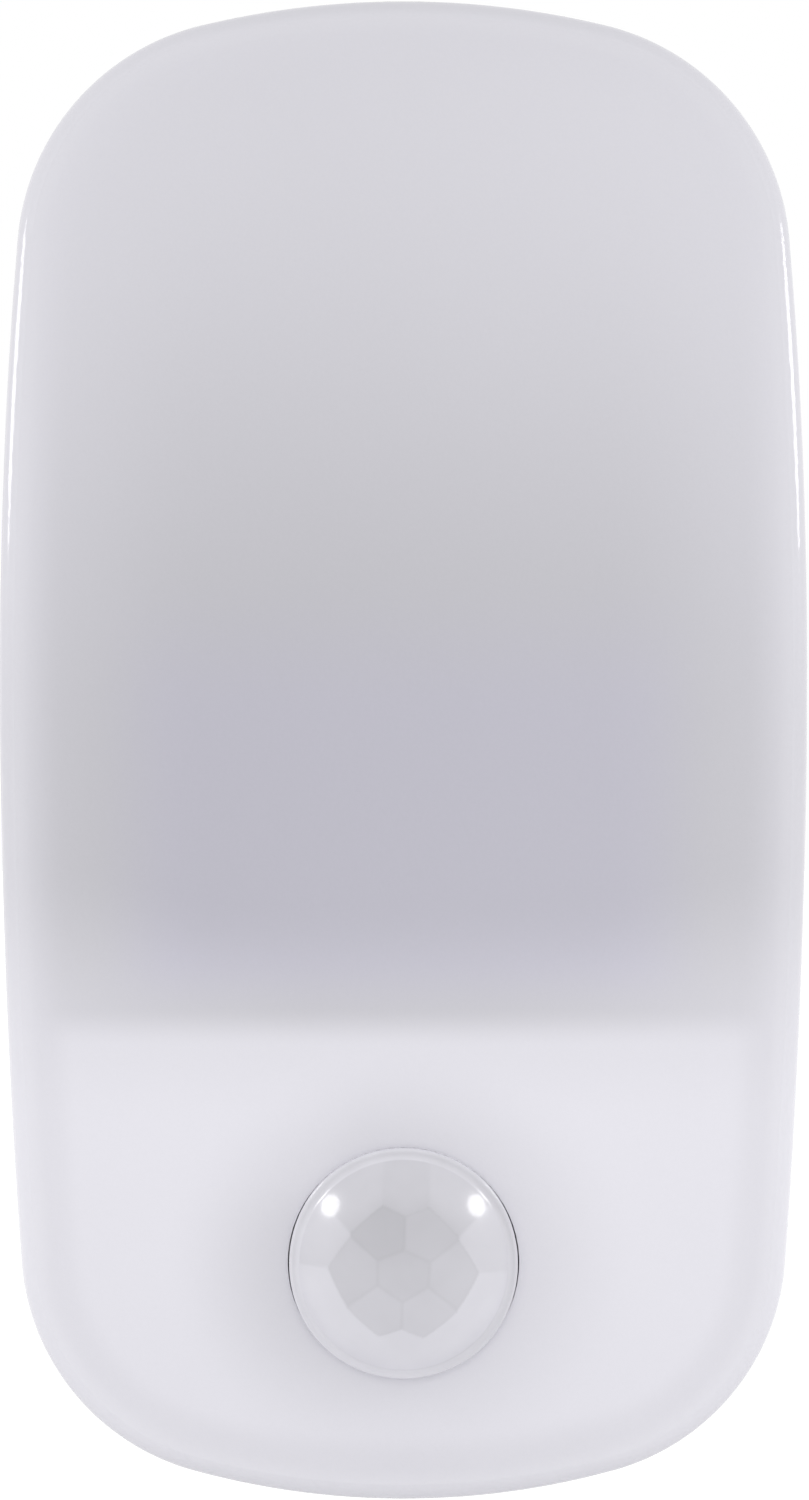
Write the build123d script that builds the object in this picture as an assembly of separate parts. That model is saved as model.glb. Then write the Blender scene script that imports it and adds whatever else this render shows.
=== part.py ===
from build123d import *

import os
from math import asin, atan2, cos, pi, sin, sqrt

# Plug-in night light with a motion sensor, as an assembly of its separate pieces.
#
# Frame: +Z up, +X to the right of someone facing the light, and the light shines towards -Y. The wall is
# the plane Y = 0, and the origin is the point on it midway between the two plug blades.
# Sizes are millimetres. A height is measured up from the lowest point of the body, and a distance "out"
# is measured from the wall towards the room, so it is -Y.

# ---- Outline of the body, seen from the front: arcs that run into each other smoothly ----
body_width = 57.0
body_height = 106.0
plug_to_top_height = 34.0  # top of the body down to the centre of the blades
plug_height = body_height - plug_to_top_height
widest_height = 0.56 * body_height
side_radius_above = 380.0  # sides, above and below their widest point
side_radius_below = 620.0
shoulder_to_top_height = 16.8  # top of the body down to where the side turns into the shoulder
shoulder_height = body_height - shoulder_to_top_height
shoulder_radius = 16.9
chin_height = 16.7  # where the side turns into the bottom corner
chin_radius = 16.4

# ---- Depths ----
body_depth = 31.0  # wall to the crown of the front face
rear_depth = 12.5  # wall to the seam between rear casing and front cover
crown_height = 53.0  # highest point of the front face's crown
crown_radius_across = 150.0  # of the crown at its highest point
crown_radius_up = 320.0

# ---- Walls ----
cover_wall = 2.0
cover_edge_radius = 1.3
casing_wall = 2.4
casing_edge_radius = 3.6
seam_groove = 0.45  # width and depth of the shadow line at the seam
lip_wall = 0.95  # tongue of the casing that stands inside the cover
lip_clearance = 0.15
lip_height = 2.0  # how far the tongue stands past the seam
lip_root = 2.0  # how far it runs back along the casing wall

# ---- Snap catches that hold the cover on the casing ----
catch_low_height = 30.0
catch_below_shoulder = 9.2
catch_high_height = shoulder_height - catch_below_shoulder
catch_heights = (catch_low_height, (catch_low_height + catch_high_height) / 2, catch_high_height)
catch_length = 7.0
catch_width = 0.9
catch_bite = 0.45
catch_clearance = 0.25

# ---- Screws that clamp casing, board and inner mouldings together, driven from the back ----
low_screw_side = 17.0  # distance each side of the middle
low_screw_height = 20.0
high_screw_side = 16.5
high_screw_to_top_height = 16.0  # top of the body down to the upper screws
screw_places = ((low_screw_side, low_screw_height), (high_screw_side, body_height - high_screw_to_top_height))
screw_diameter = 2.5
screw_length = body_depth / 2
screw_head_diameter = 4.6
screw_head_height = 1.7
screw_head_sink = 1.8  # head lies this far inside the wall face
screw_clearance = 0.3
screw_recess_width = 0.8  # cross recess in the head
screw_recess_length = 2.6
screw_recess_depth = 0.9
pillar_diameter = 6.6
post_diameter = 5.6
pilot_spare = 0.6  # pilot hole past the screw's tip

# ---- Plug blades ----
blade_spacing = 12.7
blade_thickness = 1.5
blade_width = 6.35
blade_length = 17.5
blade_tip_chamfer = 1.2
blade_hole_diameter = 3.6
blade_hole_from_wall = 11.9
blade_ear_width = 9.4
blade_ear_height = 1.6
blade_tail_width = 2.4
blade_tail_past_board = 1.2
blade_clearance = 0.05

# ---- Holder that traps the blades against the back wall ----
holder_width = 27.0
holder_height = 12.0
holder_thickness = 3.2
holder_corner_radius = 1.5
holder_screw_spacing = 21.6
holder_screw_diameter = 1.9
holder_screw_head_diameter = 3.6
holder_screw_head_height = 1.2
holder_screw_depth = 3.0
holder_boss_diameter = 4.6

# ---- Main board ----
board_out = 9.6  # back face of the board
board_thickness = 1.6
board_inset = 3.7  # inside the outline
board_to_top_height = 7.0
board_top_height = body_height - board_to_top_height
board_bottom_height = 6.0
board_hole_clearance = 0.25

# ---- Inner mouldings behind the cover ----
inner_clearance = 0.4  # to the cover, all round
inner_wall = 1.2
shelf_height = 33.2  # underside of the light tray's shelf
shelf_thickness = 1.4
shelf_top = shelf_height + shelf_thickness
reflector_thickness = 1.4
reflector_out_low = 15.9  # face of the reflector at the shelf
reflector_behind_crown = 7.5  # and how far it is behind the crown at the top of the body
panel_front_wall = 1.4
panel_gap = 0.4  # between panel and light tray
lens_opening_clearance = 0.3

# ---- Motion sensor's lens and its seat in the cover ----
lens_height = 16.9
lens_hole_width = 16.3
lens_hole_height = 16.45
lens_seat_depth = 2.6  # flange seat, below the outer face
lens_boss_wall = 2.2
lens_boss_start = 1.0  # the boss grows out of the cover's wall from here
lens_flange_diameter = 20.0
lens_flange_thickness = 1.0
lens_flange_clearance = 0.1
lens_diameter = 16.1
lens_rim_height = 0.7
lens_rim_radius = 0.45
lens_dome_diameter = 14.8
lens_dome_radius = 9.4
lens_wall = 0.6
lens_barrel_wall = 1.0
ring_thickness = 1.6
ring_inner_diameter = 15.5
boss_past_ring = 0.4

# ---- Motion sensor ----
sensor_depth = 5.0  # front of its can, below the outer face on the lens axis
can_diameter = 8.2
can_height = 4.0
can_wall = 0.3
can_flange_diameter = 9.2
can_flange_height = 0.5
window_width = 4.0
window_height = 3.0
window_thickness = 0.5
standoff_diameter = 8.8
sensor_pin_diameter = 0.45
sensor_pin_circle = 5.08
pin_past_board = 1.2

# ---- Light sensor beside it ----
light_sensor_offset = 6.1
light_sensor_diameter = 2.8
light_sensor_below_can = 0.9
light_sensor_body = 3.0
light_sensor_pin_spacing = 1.27

# ---- Light source: a narrow board that shines up from the shelf ----
led_board_width = 44.0
led_board_thickness = 1.2
led_board_back = 16.4
led_board_behind_crown = 5.1
led_board_front = body_depth - led_board_behind_crown
led_board_corner = 0.4
led_count = 6
led_pitch = 7.0
led_from_board_edge = 3.3  # middle of the row of diodes
led_out = led_board_front - led_from_board_edge
led_width = 3.5
led_depth = 2.8
led_height = 0.7
phosphor_margin = 0.4
phosphor_height = 0.15
link_pin_count = 3
link_pin_pitch = 2.54
link_pin_size = 0.64
link_pin_to_led = 1.4
link_pin_end_out = led_out - led_depth / 2 - link_pin_to_led
link_strip_height = 2.5
link_slot_clearance = 0.4

# ---- Parts on the main board: each row's height goes by what it sits next to ----
film_capacitor_size = (12.0, 5.6, 6.4)  # across, up, out
film_capacitor_above_plug = 18.5
film_capacitor_place = (0.0, plug_height + film_capacitor_above_plug)
film_capacitor_edge = 0.6
bulk_capacitor_diameter = 5.0
bulk_capacitor_length = 11.0
bulk_capacitor_below_plug = 7.4
bulk_capacitor_place = (0.0, plug_height - bulk_capacitor_below_plug)
bulk_capacitor_groove = 0.35
bulk_capacitor_lift = 0.15
input_row_side = 12.4  # fuse on the left, varistor on the right
input_row_above_plug = 8.5
varistor_diameter = 5.2
varistor_thickness = 3.0
varistor_place = (input_row_side, plug_height + input_row_above_plug)
varistor_lift = 0.6
varistor_lead_spacing = 2.5
fuse_diameter = 2.8
fuse_length = 7.5
fuse_place = (-input_row_side, plug_height + input_row_above_plug)
fuse_cap_length = 1.2
fuse_cap_step = 0.25
fuse_lift = 0.3
lead_diameter = 0.6
lead_reach = 1.5  # from the end of a body to its bend
chip_height = 1.5
chip_foot_height = 0.2
chip_foot_width = 0.4
chip_foot_length = 1.1
chip_foot_pitch = 1.27
control_chip_size = (9.9, 3.9)
control_chip_above_shelf = 7.4
control_chip_place = (0.0, shelf_top + control_chip_above_shelf)
control_chip_feet = 8
chip_pair_side = 13.0  # driver on the left, rectifier on the right
chip_pair_below_plug = 6.0
driver_chip_size = (4.9, 3.9)
driver_chip_place = (-chip_pair_side, plug_height - chip_pair_below_plug)
driver_chip_feet = 4
rectifier_size = (4.7, 3.9)
rectifier_height = 2.4
rectifier_place = (chip_pair_side, plug_height - chip_pair_below_plug)
rectifier_feet = 2
rectifier_foot_pitch = 2.54
chip_resistor_size = (2.0, 1.25, 0.6)
chip_resistor_pitch = 3.4
resistors_below_board_top = 3.0
resistors_above_chip = 7.0
resistors_below_shelf = 5.7
chip_resistor_rows = (  # height, first place across, last place across
    (board_top_height - resistors_below_board_top, -5.1, 5.1),
    (control_chip_place[1] + resistors_above_chip, -11.0, -0.8),
    (control_chip_place[1] + resistors_above_chip, 4.0, 10.8),
    (shelf_height - resistors_below_shelf, -12.0, -8.6),
    (shelf_height - resistors_below_shelf, 8.6, 12.0),
)
chip_cap_share = 0.2

# ---- Mode switch on the right-hand side: on, automatic, off ----
switch_height = 47.0
switch_travel = 2.0  # each way from the middle
switch_out = 7.2  # line of the knob
switch_recess_depth = 0.9
switch_recess_margin = 1.6
knob_width = 3.0
knob_length = 4.2
knob_below_face = 0.15
knob_clearance = 0.2
knob_rib_count = 3
knob_rib_pitch = 1.1
knob_rib_depth = 0.3
skirt_thickness = 0.6
skirt_overlap = 0.8
skirt_clearance = 0.25
switch_frame_width = 4.4
switch_frame_length = 11.0
switch_frame_depth = 4.6
switch_frame_sheet = 0.3
switch_base_thickness = 1.0
slider_clearance = 0.1
slider_depth = 2.4
slider_length = 5.6
stem_width = 1.6
stem_length = 2.4
detent_ball_diameter = 1.0
detent_hole_diameter = 0.6
detent_spring_wire = 0.15
detent_spring_turns = 3
clip_thickness = 0.2
clip_clearance = 0.05
switch_pin_count = 4
switch_pin_pitch = 2.0
switch_pin_size = 0.5

# ---- Bare recess on the back where a rating plate would go ----
plate_width = 30.0
plate_height = 20.0
plate_depth = 0.35
plate_centre_height = 40.0
plate_corner_radius = 2.0

# ---- Sizes that follow from the ones above ----
board_front = board_out + board_thickness
lip_inset = cover_wall + lip_clearance
lip_top = rear_depth + lip_height
inner_inset = cover_wall + inner_clearance
cavity_inset = inner_inset + inner_wall
holder_near = casing_wall + blade_ear_height
holder_far = holder_near + holder_thickness
screw_seat = screw_head_sink + screw_head_height
screw_tip = screw_seat + screw_length
switch_side_radius = side_radius_below
knob_face_x = (
    body_width / 2
    - switch_side_radius
    + sqrt(switch_side_radius**2 - (widest_height - switch_height) ** 2)
    - knob_below_face
)
window_length = knob_length + 2 * switch_travel + 2 * knob_clearance
window_width_side = knob_width + 2 * knob_clearance
skirt_length = window_length + 2 * switch_travel + 2 * skirt_overlap
skirt_x = knob_face_x + knob_below_face - casing_wall - skirt_clearance  # outer face of the knob's skirt
frame_x = skirt_x - skirt_thickness - skirt_clearance  # outer face of the switch's frame
frame_inner_x = frame_x - switch_frame_depth  # where the switch's base plate begins
pin_top_x = frame_inner_x + switch_base_thickness  # inside of the base plate, flush with its pins
slider_x = frame_x - switch_frame_sheet - slider_clearance  # outer face of the slider
far_out = 2 * body_depth  # past every front face


def up(height):
    """A height above the lowest point of the body, as a Z of the frame."""
    return height - plug_height


# ---- Basic shapes ----
def block(x, height, size_x, size_z, near, far):
    """Box centred across on x and up on height, from near to far out of the wall."""
    return Pos(x, -(near + far) / 2, up(height)) * Box(size_x, far - near, size_z)


def rod(x, height, diameter, near, far):
    """Round bar that points out of the wall."""
    return Pos(x, -(near + far) / 2, up(height)) * Rot(90, 0, 0) * Cylinder(diameter / 2, far - near)


def group(solids):
    """Several separate solids that share one node."""
    return Compound([s for part in solids for s in part.solids()])


def closing_arc(corner, corner_radius, level, side):
    """Arc across the middle that touches the level and runs into a corner arc: centre, radius, end angle."""
    x, z = corner
    gap = side * (level - z)
    radius = (x**2 + gap**2 - corner_radius**2) / (2 * (gap - corner_radius))
    centre = (0.0, level - side * radius)
    return centre, radius, atan2(z - centre[1], x)


def side_and_corner(side_radius, turn_height, corner_radius):
    """Centre of a side arc and of the corner arc it runs into, and the angle where they meet."""
    centre = (body_width / 2 - side_radius, up(widest_height))
    angle = asin((turn_height - widest_height) / side_radius)
    reach = side_radius - corner_radius
    return centre, (centre[0] + reach * cos(angle), centre[1] + reach * sin(angle)), angle


def outline_arcs():
    """The outline as (centre, radius, start angle, end angle), anticlockwise from the chin."""
    side_up, shoulder, turn_up = side_and_corner(side_radius_above, shoulder_height, shoulder_radius)
    side_down, chin, turn_down = side_and_corner(side_radius_below, chin_height, chin_radius)
    top, top_radius, top_angle = closing_arc(shoulder, shoulder_radius, up(body_height), 1)
    base, base_radius, base_angle = closing_arc(chin, chin_radius, up(0), -1)
    right = [
        (chin, chin_radius, base_angle, turn_down),
        (side_down, side_radius_below, turn_down, 0.0),
        (side_up, side_radius_above, 0.0, turn_up),
        (shoulder, shoulder_radius, turn_up, top_angle),
    ]
    left = [((-x, z), radius, pi - end, pi - start) for (x, z), radius, start, end in reversed(right)]
    return [
        (base, base_radius, -pi - base_angle, base_angle),
        *right,
        (top, top_radius, top_angle, pi - top_angle),
        *left,
    ]


def outline(inset):
    """Flat face inside the outline, the same distance inside it all round."""
    arcs = []
    for (x, z), radius, start, end in outline_arcs():
        r = radius - inset
        angles = (start, (start + end) / 2, end)
        arcs.append(ThreePointArc(*[(x + r * cos(a), z + r * sin(a)) for a in angles]))
    return Plane.XZ * make_face(arcs)


def prism(inset, near, far):
    """The outline's face drawn out from near to far."""
    return Pos(0, -near, 0) * extrude(outline(inset), far - near, dir=(0, -1, 0))


def band(low, high):
    """Everything between two heights."""
    return block(0, (low + high) / 2, 4 * body_width, high - low, -body_depth, far_out)


def crown_out(x, height):
    """How far out the front face is: it curves as a parabola both across and up."""
    rise = height - crown_height
    return body_depth - x**2 / (2 * crown_radius_across) - rise**2 / (2 * crown_radius_up)


def behind_crown(depth):
    """Everything behind the front face, or behind the same face moved back by a depth."""
    reach_x, reach_z = body_width, body_height
    drop_x = reach_x**2 / (2 * crown_radius_across)
    drop_z = reach_z**2 / (2 * crown_radius_up)
    front = depth - body_depth
    middle = up(crown_height)
    steps = ((-1, 1), (0, -1), (1, 1))  # place and drop of a parabola's three control points
    points = [
        [(i * reach_x, front + p * drop_x + q * drop_z, middle + j * reach_z) for j, q in steps]
        for i, p in steps
    ]
    return extrude(Face.make_bezier_surface(points), far_out, dir=(0, 1, 0))


# ---- Place of the lens: square to the crowned face at its height ----
lens_tilt = atan2(crown_height - lens_height, crown_radius_up)
lens_out = crown_out(0, lens_height)
lens_frame = Plane(
    origin=(0, -lens_out, up(lens_height)),
    x_dir=(1, 0, 0),
    z_dir=(0, -cos(lens_tilt), -sin(lens_tilt)),
).location
sensor_out = lens_out - sensor_depth * cos(lens_tilt)
sensor_height = lens_height + sensor_depth * sin(lens_tilt)
ring_back = lens_seat_depth + lens_flange_thickness + ring_thickness
boss_back = ring_back + boss_past_ring
lens_bore_diameter = lens_flange_diameter + 2 * lens_flange_clearance
lens_boss_diameter = lens_bore_diameter + 2 * lens_boss_wall


def disc(diameter, deep, shallow):
    """Disc on the lens axis, from deep to shallow below the outer face. Above the face is negative."""
    return lens_frame * Pos(0, 0, -(deep + shallow) / 2) * Cylinder(diameter / 2, deep - shallow)


# ---- Casing, cover and lens ----
def catch_blocks(grow):
    """The snap catches on both sides, or, grown by a clearance, the pockets they snap into."""
    middle = rear_depth + lip_height / 2
    blocks = []
    for height in catch_heights:
        radius = side_radius_above if height > widest_height else side_radius_below
        half = body_width / 2 - radius + sqrt(radius**2 - (height - widest_height) ** 2)
        inner = half - cover_wall - catch_bite - grow
        outer = half - cover_wall / 2
        for side in (-1, 1):
            blocks.append(
                block(
                    side * (inner + outer) / 2,
                    height,
                    outer - inner,
                    catch_length + 2 * grow,
                    middle - catch_width / 2 - grow,
                    middle + catch_width / 2 + grow,
                )
            )
    return blocks


def front_cover():
    shell = prism(0, rear_depth, far_out) & behind_crown(0)
    crown = shell.faces().sort_by(Axis.Y)[0]
    shell = fillet(crown.edges(), cover_edge_radius)
    shell -= prism(cover_wall, 0, far_out) & behind_crown(cover_wall)
    shell += disc(lens_boss_diameter, boss_back, lens_boss_start)
    shell -= disc(lens_bore_diameter, boss_back, lens_seat_depth)
    hole = extrude(Ellipse(lens_hole_width / 2, lens_hole_height / 2), lens_seat_depth, both=True)
    shell -= lens_frame * hole
    return shell + catch_blocks(0)


def screw_positions():
    return [(side * x, height) for x, height in screw_places for side in (-1, 1)]


def rear_casing():
    shell = prism(0, 0, rear_depth - seam_groove)
    back = shell.faces().sort_by(Axis.Y)[-1]
    shell = fillet(back.edges(), casing_edge_radius)
    shell += prism(seam_groove, rear_depth - seam_groove, rear_depth)
    shell -= prism(casing_wall, casing_wall, far_out)
    lip = prism(lip_inset, rear_depth - lip_root, lip_top)
    shell += lip - prism(lip_inset + lip_wall, 0, far_out)
    shell -= catch_blocks(catch_clearance)
    for x, height in screw_positions():
        shell += rod(x, height, pillar_diameter, casing_wall / 2, board_out)
        shell -= rod(x, height, screw_diameter + screw_clearance, 0, board_out)
        shell -= rod(x, height, screw_head_diameter + screw_clearance, 0, screw_seat)
    for side in (-1, 1):
        x = side * blade_spacing / 2
        slot = blade_thickness + 2 * blade_clearance, blade_width + 2 * blade_clearance
        shell -= block(x, plug_height, *slot, 0, casing_wall)
        x = side * holder_screw_spacing / 2
        shell += rod(x, plug_height, holder_boss_diameter, casing_wall / 2, holder_near)
        shell -= rod(x, plug_height, holder_screw_diameter, holder_near - holder_screw_depth, holder_near)
    plate = extrude(RectangleRounded(plate_width, plate_height, plate_corner_radius), plate_depth)
    shell -= Pos(0, 0, up(plate_centre_height)) * Rot(90, 0, 0) * plate
    return shell - switch_window()


def switch_window():
    """Recess in the side of the casing, and the window in it that the knob slides along."""
    face_x = knob_face_x + knob_below_face
    pad = extrude(
        SlotOverall(window_length + 2 * switch_recess_margin, window_width_side + 2 * switch_recess_margin),
        body_width / 4,
    )
    place = Pos(face_x - switch_recess_depth, -switch_out, up(switch_height)) * Rot(0, 90, 0)
    window = block(
        face_x,
        switch_height,
        body_width / 4,
        window_length,
        switch_out - window_width_side / 2,
        switch_out + window_width_side / 2,
    )
    return place * pad + window


def pir_lens():
    """Thin dome with a rolled rim, a barrel that goes through the cover, and a flange behind the cover."""
    rim_r, dome_r = lens_diameter / 2, lens_dome_diameter / 2
    bore_r = rim_r - lens_barrel_wall
    flange_r = lens_flange_diameter / 2
    back_z = -lens_seat_depth - lens_flange_thickness
    centre_z = lens_rim_height - sqrt(lens_dome_radius**2 - dome_r**2)
    inner_radius = lens_dome_radius - lens_wall

    def dome_arc(radius, edge_r):
        turn = asin(edge_r / radius)
        points = [(radius * sin(a), centre_z + radius * cos(a)) for a in (turn, turn / 2, 0.0)]
        return ThreePointArc(*points), points[0], points[-1]

    outer, outer_edge, outer_top = dome_arc(lens_dome_radius, dome_r)
    inner, inner_edge, inner_top = dome_arc(inner_radius, bore_r)
    rim_mid = lens_rim_radius * (1 - sin(pi / 4))
    rim = ThreePointArc(
        (rim_r, lens_rim_height - lens_rim_radius),
        (rim_r - rim_mid, lens_rim_height - rim_mid),
        (rim_r - lens_rim_radius, lens_rim_height),
    )
    foot = Polyline(
        inner_edge,
        (bore_r, back_z),
        (flange_r, back_z),
        (flange_r, -lens_seat_depth),
        (rim_r, -lens_seat_depth),
        (rim_r, lens_rim_height - lens_rim_radius),
    )
    land = Line((rim_r - lens_rim_radius, lens_rim_height), outer_edge)
    profile = Plane.XZ * make_face([foot, rim, land, outer, Line(outer_top, inner_top), inner])
    return lens_frame * revolve(profile, Axis.Z)


def lens_ring():
    """Ring pressed into the cover's boss behind the lens, which clamps its flange."""
    seat = lens_seat_depth + lens_flange_thickness
    return disc(lens_bore_diameter, ring_back, seat) - disc(ring_inner_diameter, ring_back, seat)


# ---- Inner mouldings ----
def screw_posts(places, top):
    """Posts that the casing screws bite into, from the board out to the moulding they belong to."""
    posts = []
    for x, height in places:
        pilot = rod(x, height, screw_diameter, board_front, screw_tip + pilot_spare)
        posts.append(rod(x, height, post_diameter, board_front, top(x, height)) - pilot)
    return posts


def reflector_out(height):
    """How far out the reflector's face is at a height."""
    share = (height - shelf_top) / (body_height - shelf_top)
    return reflector_out_low + share * (body_depth - reflector_behind_crown - reflector_out_low)


def sloped_sheet(depth_behind):
    """Everything between the reflector's face, moved back by a depth, and the wall."""
    low, high = shelf_top, body_height
    out_low, out_high = reflector_out(low) - depth_behind, reflector_out(high) - depth_behind
    corners = [(0, up(low)), (-out_low, up(low)), (-out_high, up(high)), (0, up(high))]
    return extrude(Plane.YZ * make_face(Polyline(*corners, close=True)), body_width, both=True)


def light_tray():
    """White tray open to the cover: shelf, side walls and a reflector that leans forward towards the top."""
    upper = band(shelf_height, 2 * body_height)
    hollow = prism(cavity_inset, 0, far_out) & band(shelf_top, 2 * body_height)
    solid = (prism(inner_inset, lip_top, far_out) & behind_crown(inner_inset) & upper) - hollow
    sheet = (sloped_sheet(0) - sloped_sheet(reflector_thickness)) & prism(cavity_inset, lip_top, far_out)
    tray = solid + sheet
    places = [(x, height) for x, height in screw_positions() if height > shelf_height]
    tray += screw_posts(places, lambda x, height: reflector_out(height) - reflector_thickness / 2)
    slot_height = led_pin_height()
    slot_width = link_pin_count * link_pin_pitch + 2 * link_slot_clearance
    slot_thickness = link_pin_size + 2 * link_slot_clearance
    slot_near = reflector_out_low - 2 * reflector_thickness
    return tray - block(0, slot_height, slot_width, slot_thickness, slot_near, link_pin_end_out)


def sensor_panel():
    """White box behind the lower part of the cover, with an opening for the lens seat."""
    lower = band(-body_height, shelf_height - panel_gap)
    inside = band(-body_height, shelf_height - panel_gap - inner_wall)
    solid = prism(inner_inset, lip_top, far_out) & behind_crown(inner_inset) & lower
    hollow = prism(cavity_inset, 0, far_out) & behind_crown(inner_inset + panel_front_wall) & inside
    panel = solid - hollow
    places = [(x, height) for x, height in screw_positions() if height < shelf_height]
    depth = inner_inset + panel_front_wall / 2
    panel += screw_posts(places, lambda x, height: crown_out(x, height) - depth)
    return panel - disc(lens_boss_diameter + 2 * lens_opening_clearance, far_out, -far_out)


# ---- Boards ----
def led_pin_height():
    return shelf_top + led_board_thickness + link_pin_size / 2


def link_pin_xs():
    return [(i - (link_pin_count - 1) / 2) * link_pin_pitch for i in range(link_pin_count)]


def sensor_pins():
    """Places of the motion sensor's three pins."""
    radius = sensor_pin_circle / 2
    return [(radius * cos(a), sensor_height + radius * sin(a)) for a in (0.0, pi / 2, pi)]


def light_sensor_pins():
    half = light_sensor_pin_spacing / 2
    return [(light_sensor_offset, sensor_height + side * half) for side in (-1, 1)]


def switch_pin_places():
    """Places of the switch's pins in the board."""
    x = frame_x - switch_frame_depth - switch_pin_size
    first = switch_height - (switch_pin_count - 1) / 2 * switch_pin_pitch
    return [(x, first + i * switch_pin_pitch) for i in range(switch_pin_count)]


def through_hole(x, height, diameter):
    return rod(x, height, diameter + 2 * board_hole_clearance, board_out, board_front)


def main_board():
    board = prism(board_inset, board_out, board_front) & band(board_bottom_height, board_top_height)
    for x, height in screw_positions():
        board -= rod(x, height, screw_diameter + screw_clearance, board_out, board_front)
    for side in (-1, 1):
        slot = blade_thickness + 2 * board_hole_clearance, blade_tail_width + 2 * board_hole_clearance
        board -= block(side * blade_spacing / 2, plug_height, *slot, board_out, board_front)
    for x, height in sensor_pins() + light_sensor_pins():
        board -= through_hole(x, height, sensor_pin_diameter)
    for x, height in switch_pin_places():
        board -= through_hole(x, height, switch_pin_size)
    for x in link_pin_xs():
        board -= through_hole(x, led_pin_height(), link_pin_size)
    for x, height, _ in wire_lead_feet():
        board -= through_hole(x, height, lead_diameter)
    for side in (-1, 1):
        x, height = varistor_place
        board -= through_hole(x + side * varistor_lead_spacing / 2, height, lead_diameter)
    return board


def led_board():
    middle = shelf_top + led_board_thickness / 2
    board = block(0, middle, led_board_width, led_board_thickness, led_board_back, led_board_front)
    return fillet(board.edges().filter_by(Axis.Z), led_board_corner)


def led_places():
    return [(i - (led_count - 1) / 2) * led_pitch for i in range(led_count)]


def led_blocks(base, tall, margin):
    """One low block for each light-emitting diode, from a base height, a margin inside its package."""
    middle = base + tall / 2
    width = led_width - 2 * margin
    half = led_depth / 2 - margin
    return group([block(x, middle, width, tall, led_out - half, led_out + half) for x in led_places()])


def led_packages():
    return led_blocks(shelf_top + led_board_thickness, led_height, 0)


def led_phosphors():
    return led_blocks(shelf_top + led_board_thickness + led_height, phosphor_height, phosphor_margin)


def link_pins():
    """Pins that carry the LED board's supply from the main board through the back of the tray."""
    near = board_out - pin_past_board
    size = link_pin_size, link_pin_size
    return group([block(x, led_pin_height(), *size, near, link_pin_end_out) for x in link_pin_xs()])


def link_strip():
    width = link_pin_count * link_pin_pitch
    far = board_front + link_strip_height
    strip = block(0, led_pin_height(), width, link_strip_height, board_front, far)
    for x in link_pin_xs():
        strip -= block(x, led_pin_height(), link_pin_size, link_pin_size, board_front, far)
    return strip


# ---- Sensors ----
def pir_can():
    """Metal can of the motion sensor, open behind, with its window cut in the front."""
    back = sensor_out - can_height
    can = rod(0, sensor_height, can_diameter, back, sensor_out)
    can = fillet(can.faces().sort_by(Axis.Y)[0].edges(), can_wall)
    can += rod(0, sensor_height, can_flange_diameter, back, back + can_flange_height)
    can -= rod(0, sensor_height, can_diameter - 2 * can_wall, back, sensor_out - can_wall)
    return can - block(0, sensor_height, window_width, window_height, back, sensor_out)


def pir_window():
    """Infra-red filter behind the can's opening, a little larger than it."""
    margin = can_wall
    far = sensor_out - can_wall
    width, height = window_width + 2 * margin, window_height + 2 * margin
    return block(0, sensor_height, width, height, far - window_thickness, far)


def pir_header():
    """Plug of the can that its pins come through."""
    back = sensor_out - can_height
    front = sensor_out - can_wall - window_thickness
    header = rod(0, sensor_height, can_diameter - 2 * can_wall, back, front)
    for x, height in sensor_pins():
        header -= rod(x, height, sensor_pin_diameter, back, back + can_flange_height)
    return header


def pir_pins():
    far = sensor_out - can_height + can_flange_height
    near = board_out - pin_past_board
    return group([rod(x, height, sensor_pin_diameter, near, far) for x, height in sensor_pins()])


def pir_standoff():
    """Spacer that carries the can above the board, with a hole for each pin."""
    far = sensor_out - can_height
    spacer = rod(0, sensor_height, standoff_diameter, board_front, far)
    for x, height in sensor_pins():
        spacer -= rod(x, height, sensor_pin_diameter + 2 * blade_clearance, board_front, far)
    return spacer


def light_sensor():
    """Small round-nosed phototransistor beside the motion sensor."""
    top = sensor_out - light_sensor_below_can
    radius = light_sensor_diameter / 2
    spot = light_sensor_offset, sensor_height
    body = rod(*spot, light_sensor_diameter, top - light_sensor_body, top - radius)
    return body + Pos(light_sensor_offset, radius - top, up(sensor_height)) * Sphere(radius)


def light_sensor_leads():
    far = sensor_out - light_sensor_below_can - light_sensor_body
    near = board_out - pin_past_board
    return group([rod(x, height, sensor_pin_diameter, near, far) for x, height in light_sensor_pins()])


# ---- Parts of the power supply ----
def wire_lead_feet():
    """Where the leads of lying and upright parts go into the board: x, height, and the line they rise to."""
    fuse_x, fuse_height = fuse_place
    fuse_rise = board_front + fuse_lift + fuse_diameter / 2
    half = fuse_length / 2 + lead_reach
    feet = [(fuse_x, fuse_height + side * half, fuse_rise) for side in (-1, 1)]
    cap_x, cap_height = bulk_capacitor_place
    cap_rise = board_front + bulk_capacitor_lift + bulk_capacitor_diameter / 2
    end = cap_x - bulk_capacitor_length / 2 - lead_reach
    feet += [(end, cap_height + side * link_pin_pitch / 2, cap_rise) for side in (-1, 1)]
    return feet


def bent_lead(foot_x, foot_height, rise, body_x, body_height):
    """Wire that comes up through the board and turns over to the end of a part's body."""
    near = board_out - pin_past_board
    corner = (foot_x, -rise, up(foot_height))
    path = FilletPolyline(
        (foot_x, -near, up(foot_height)),
        corner,
        (body_x, -rise, up(body_height)),
        radius=lead_diameter,
    )
    return sweep(Plane(path @ 0, z_dir=path % 0) * Circle(lead_diameter / 2), path)


def film_capacitor():
    across, tall, out = film_capacitor_size
    x, height = film_capacitor_place
    case = block(x, height, across, tall, board_front, board_front + out)
    return fillet(case.edges().filter_by(Axis.Y), film_capacitor_edge)


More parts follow.
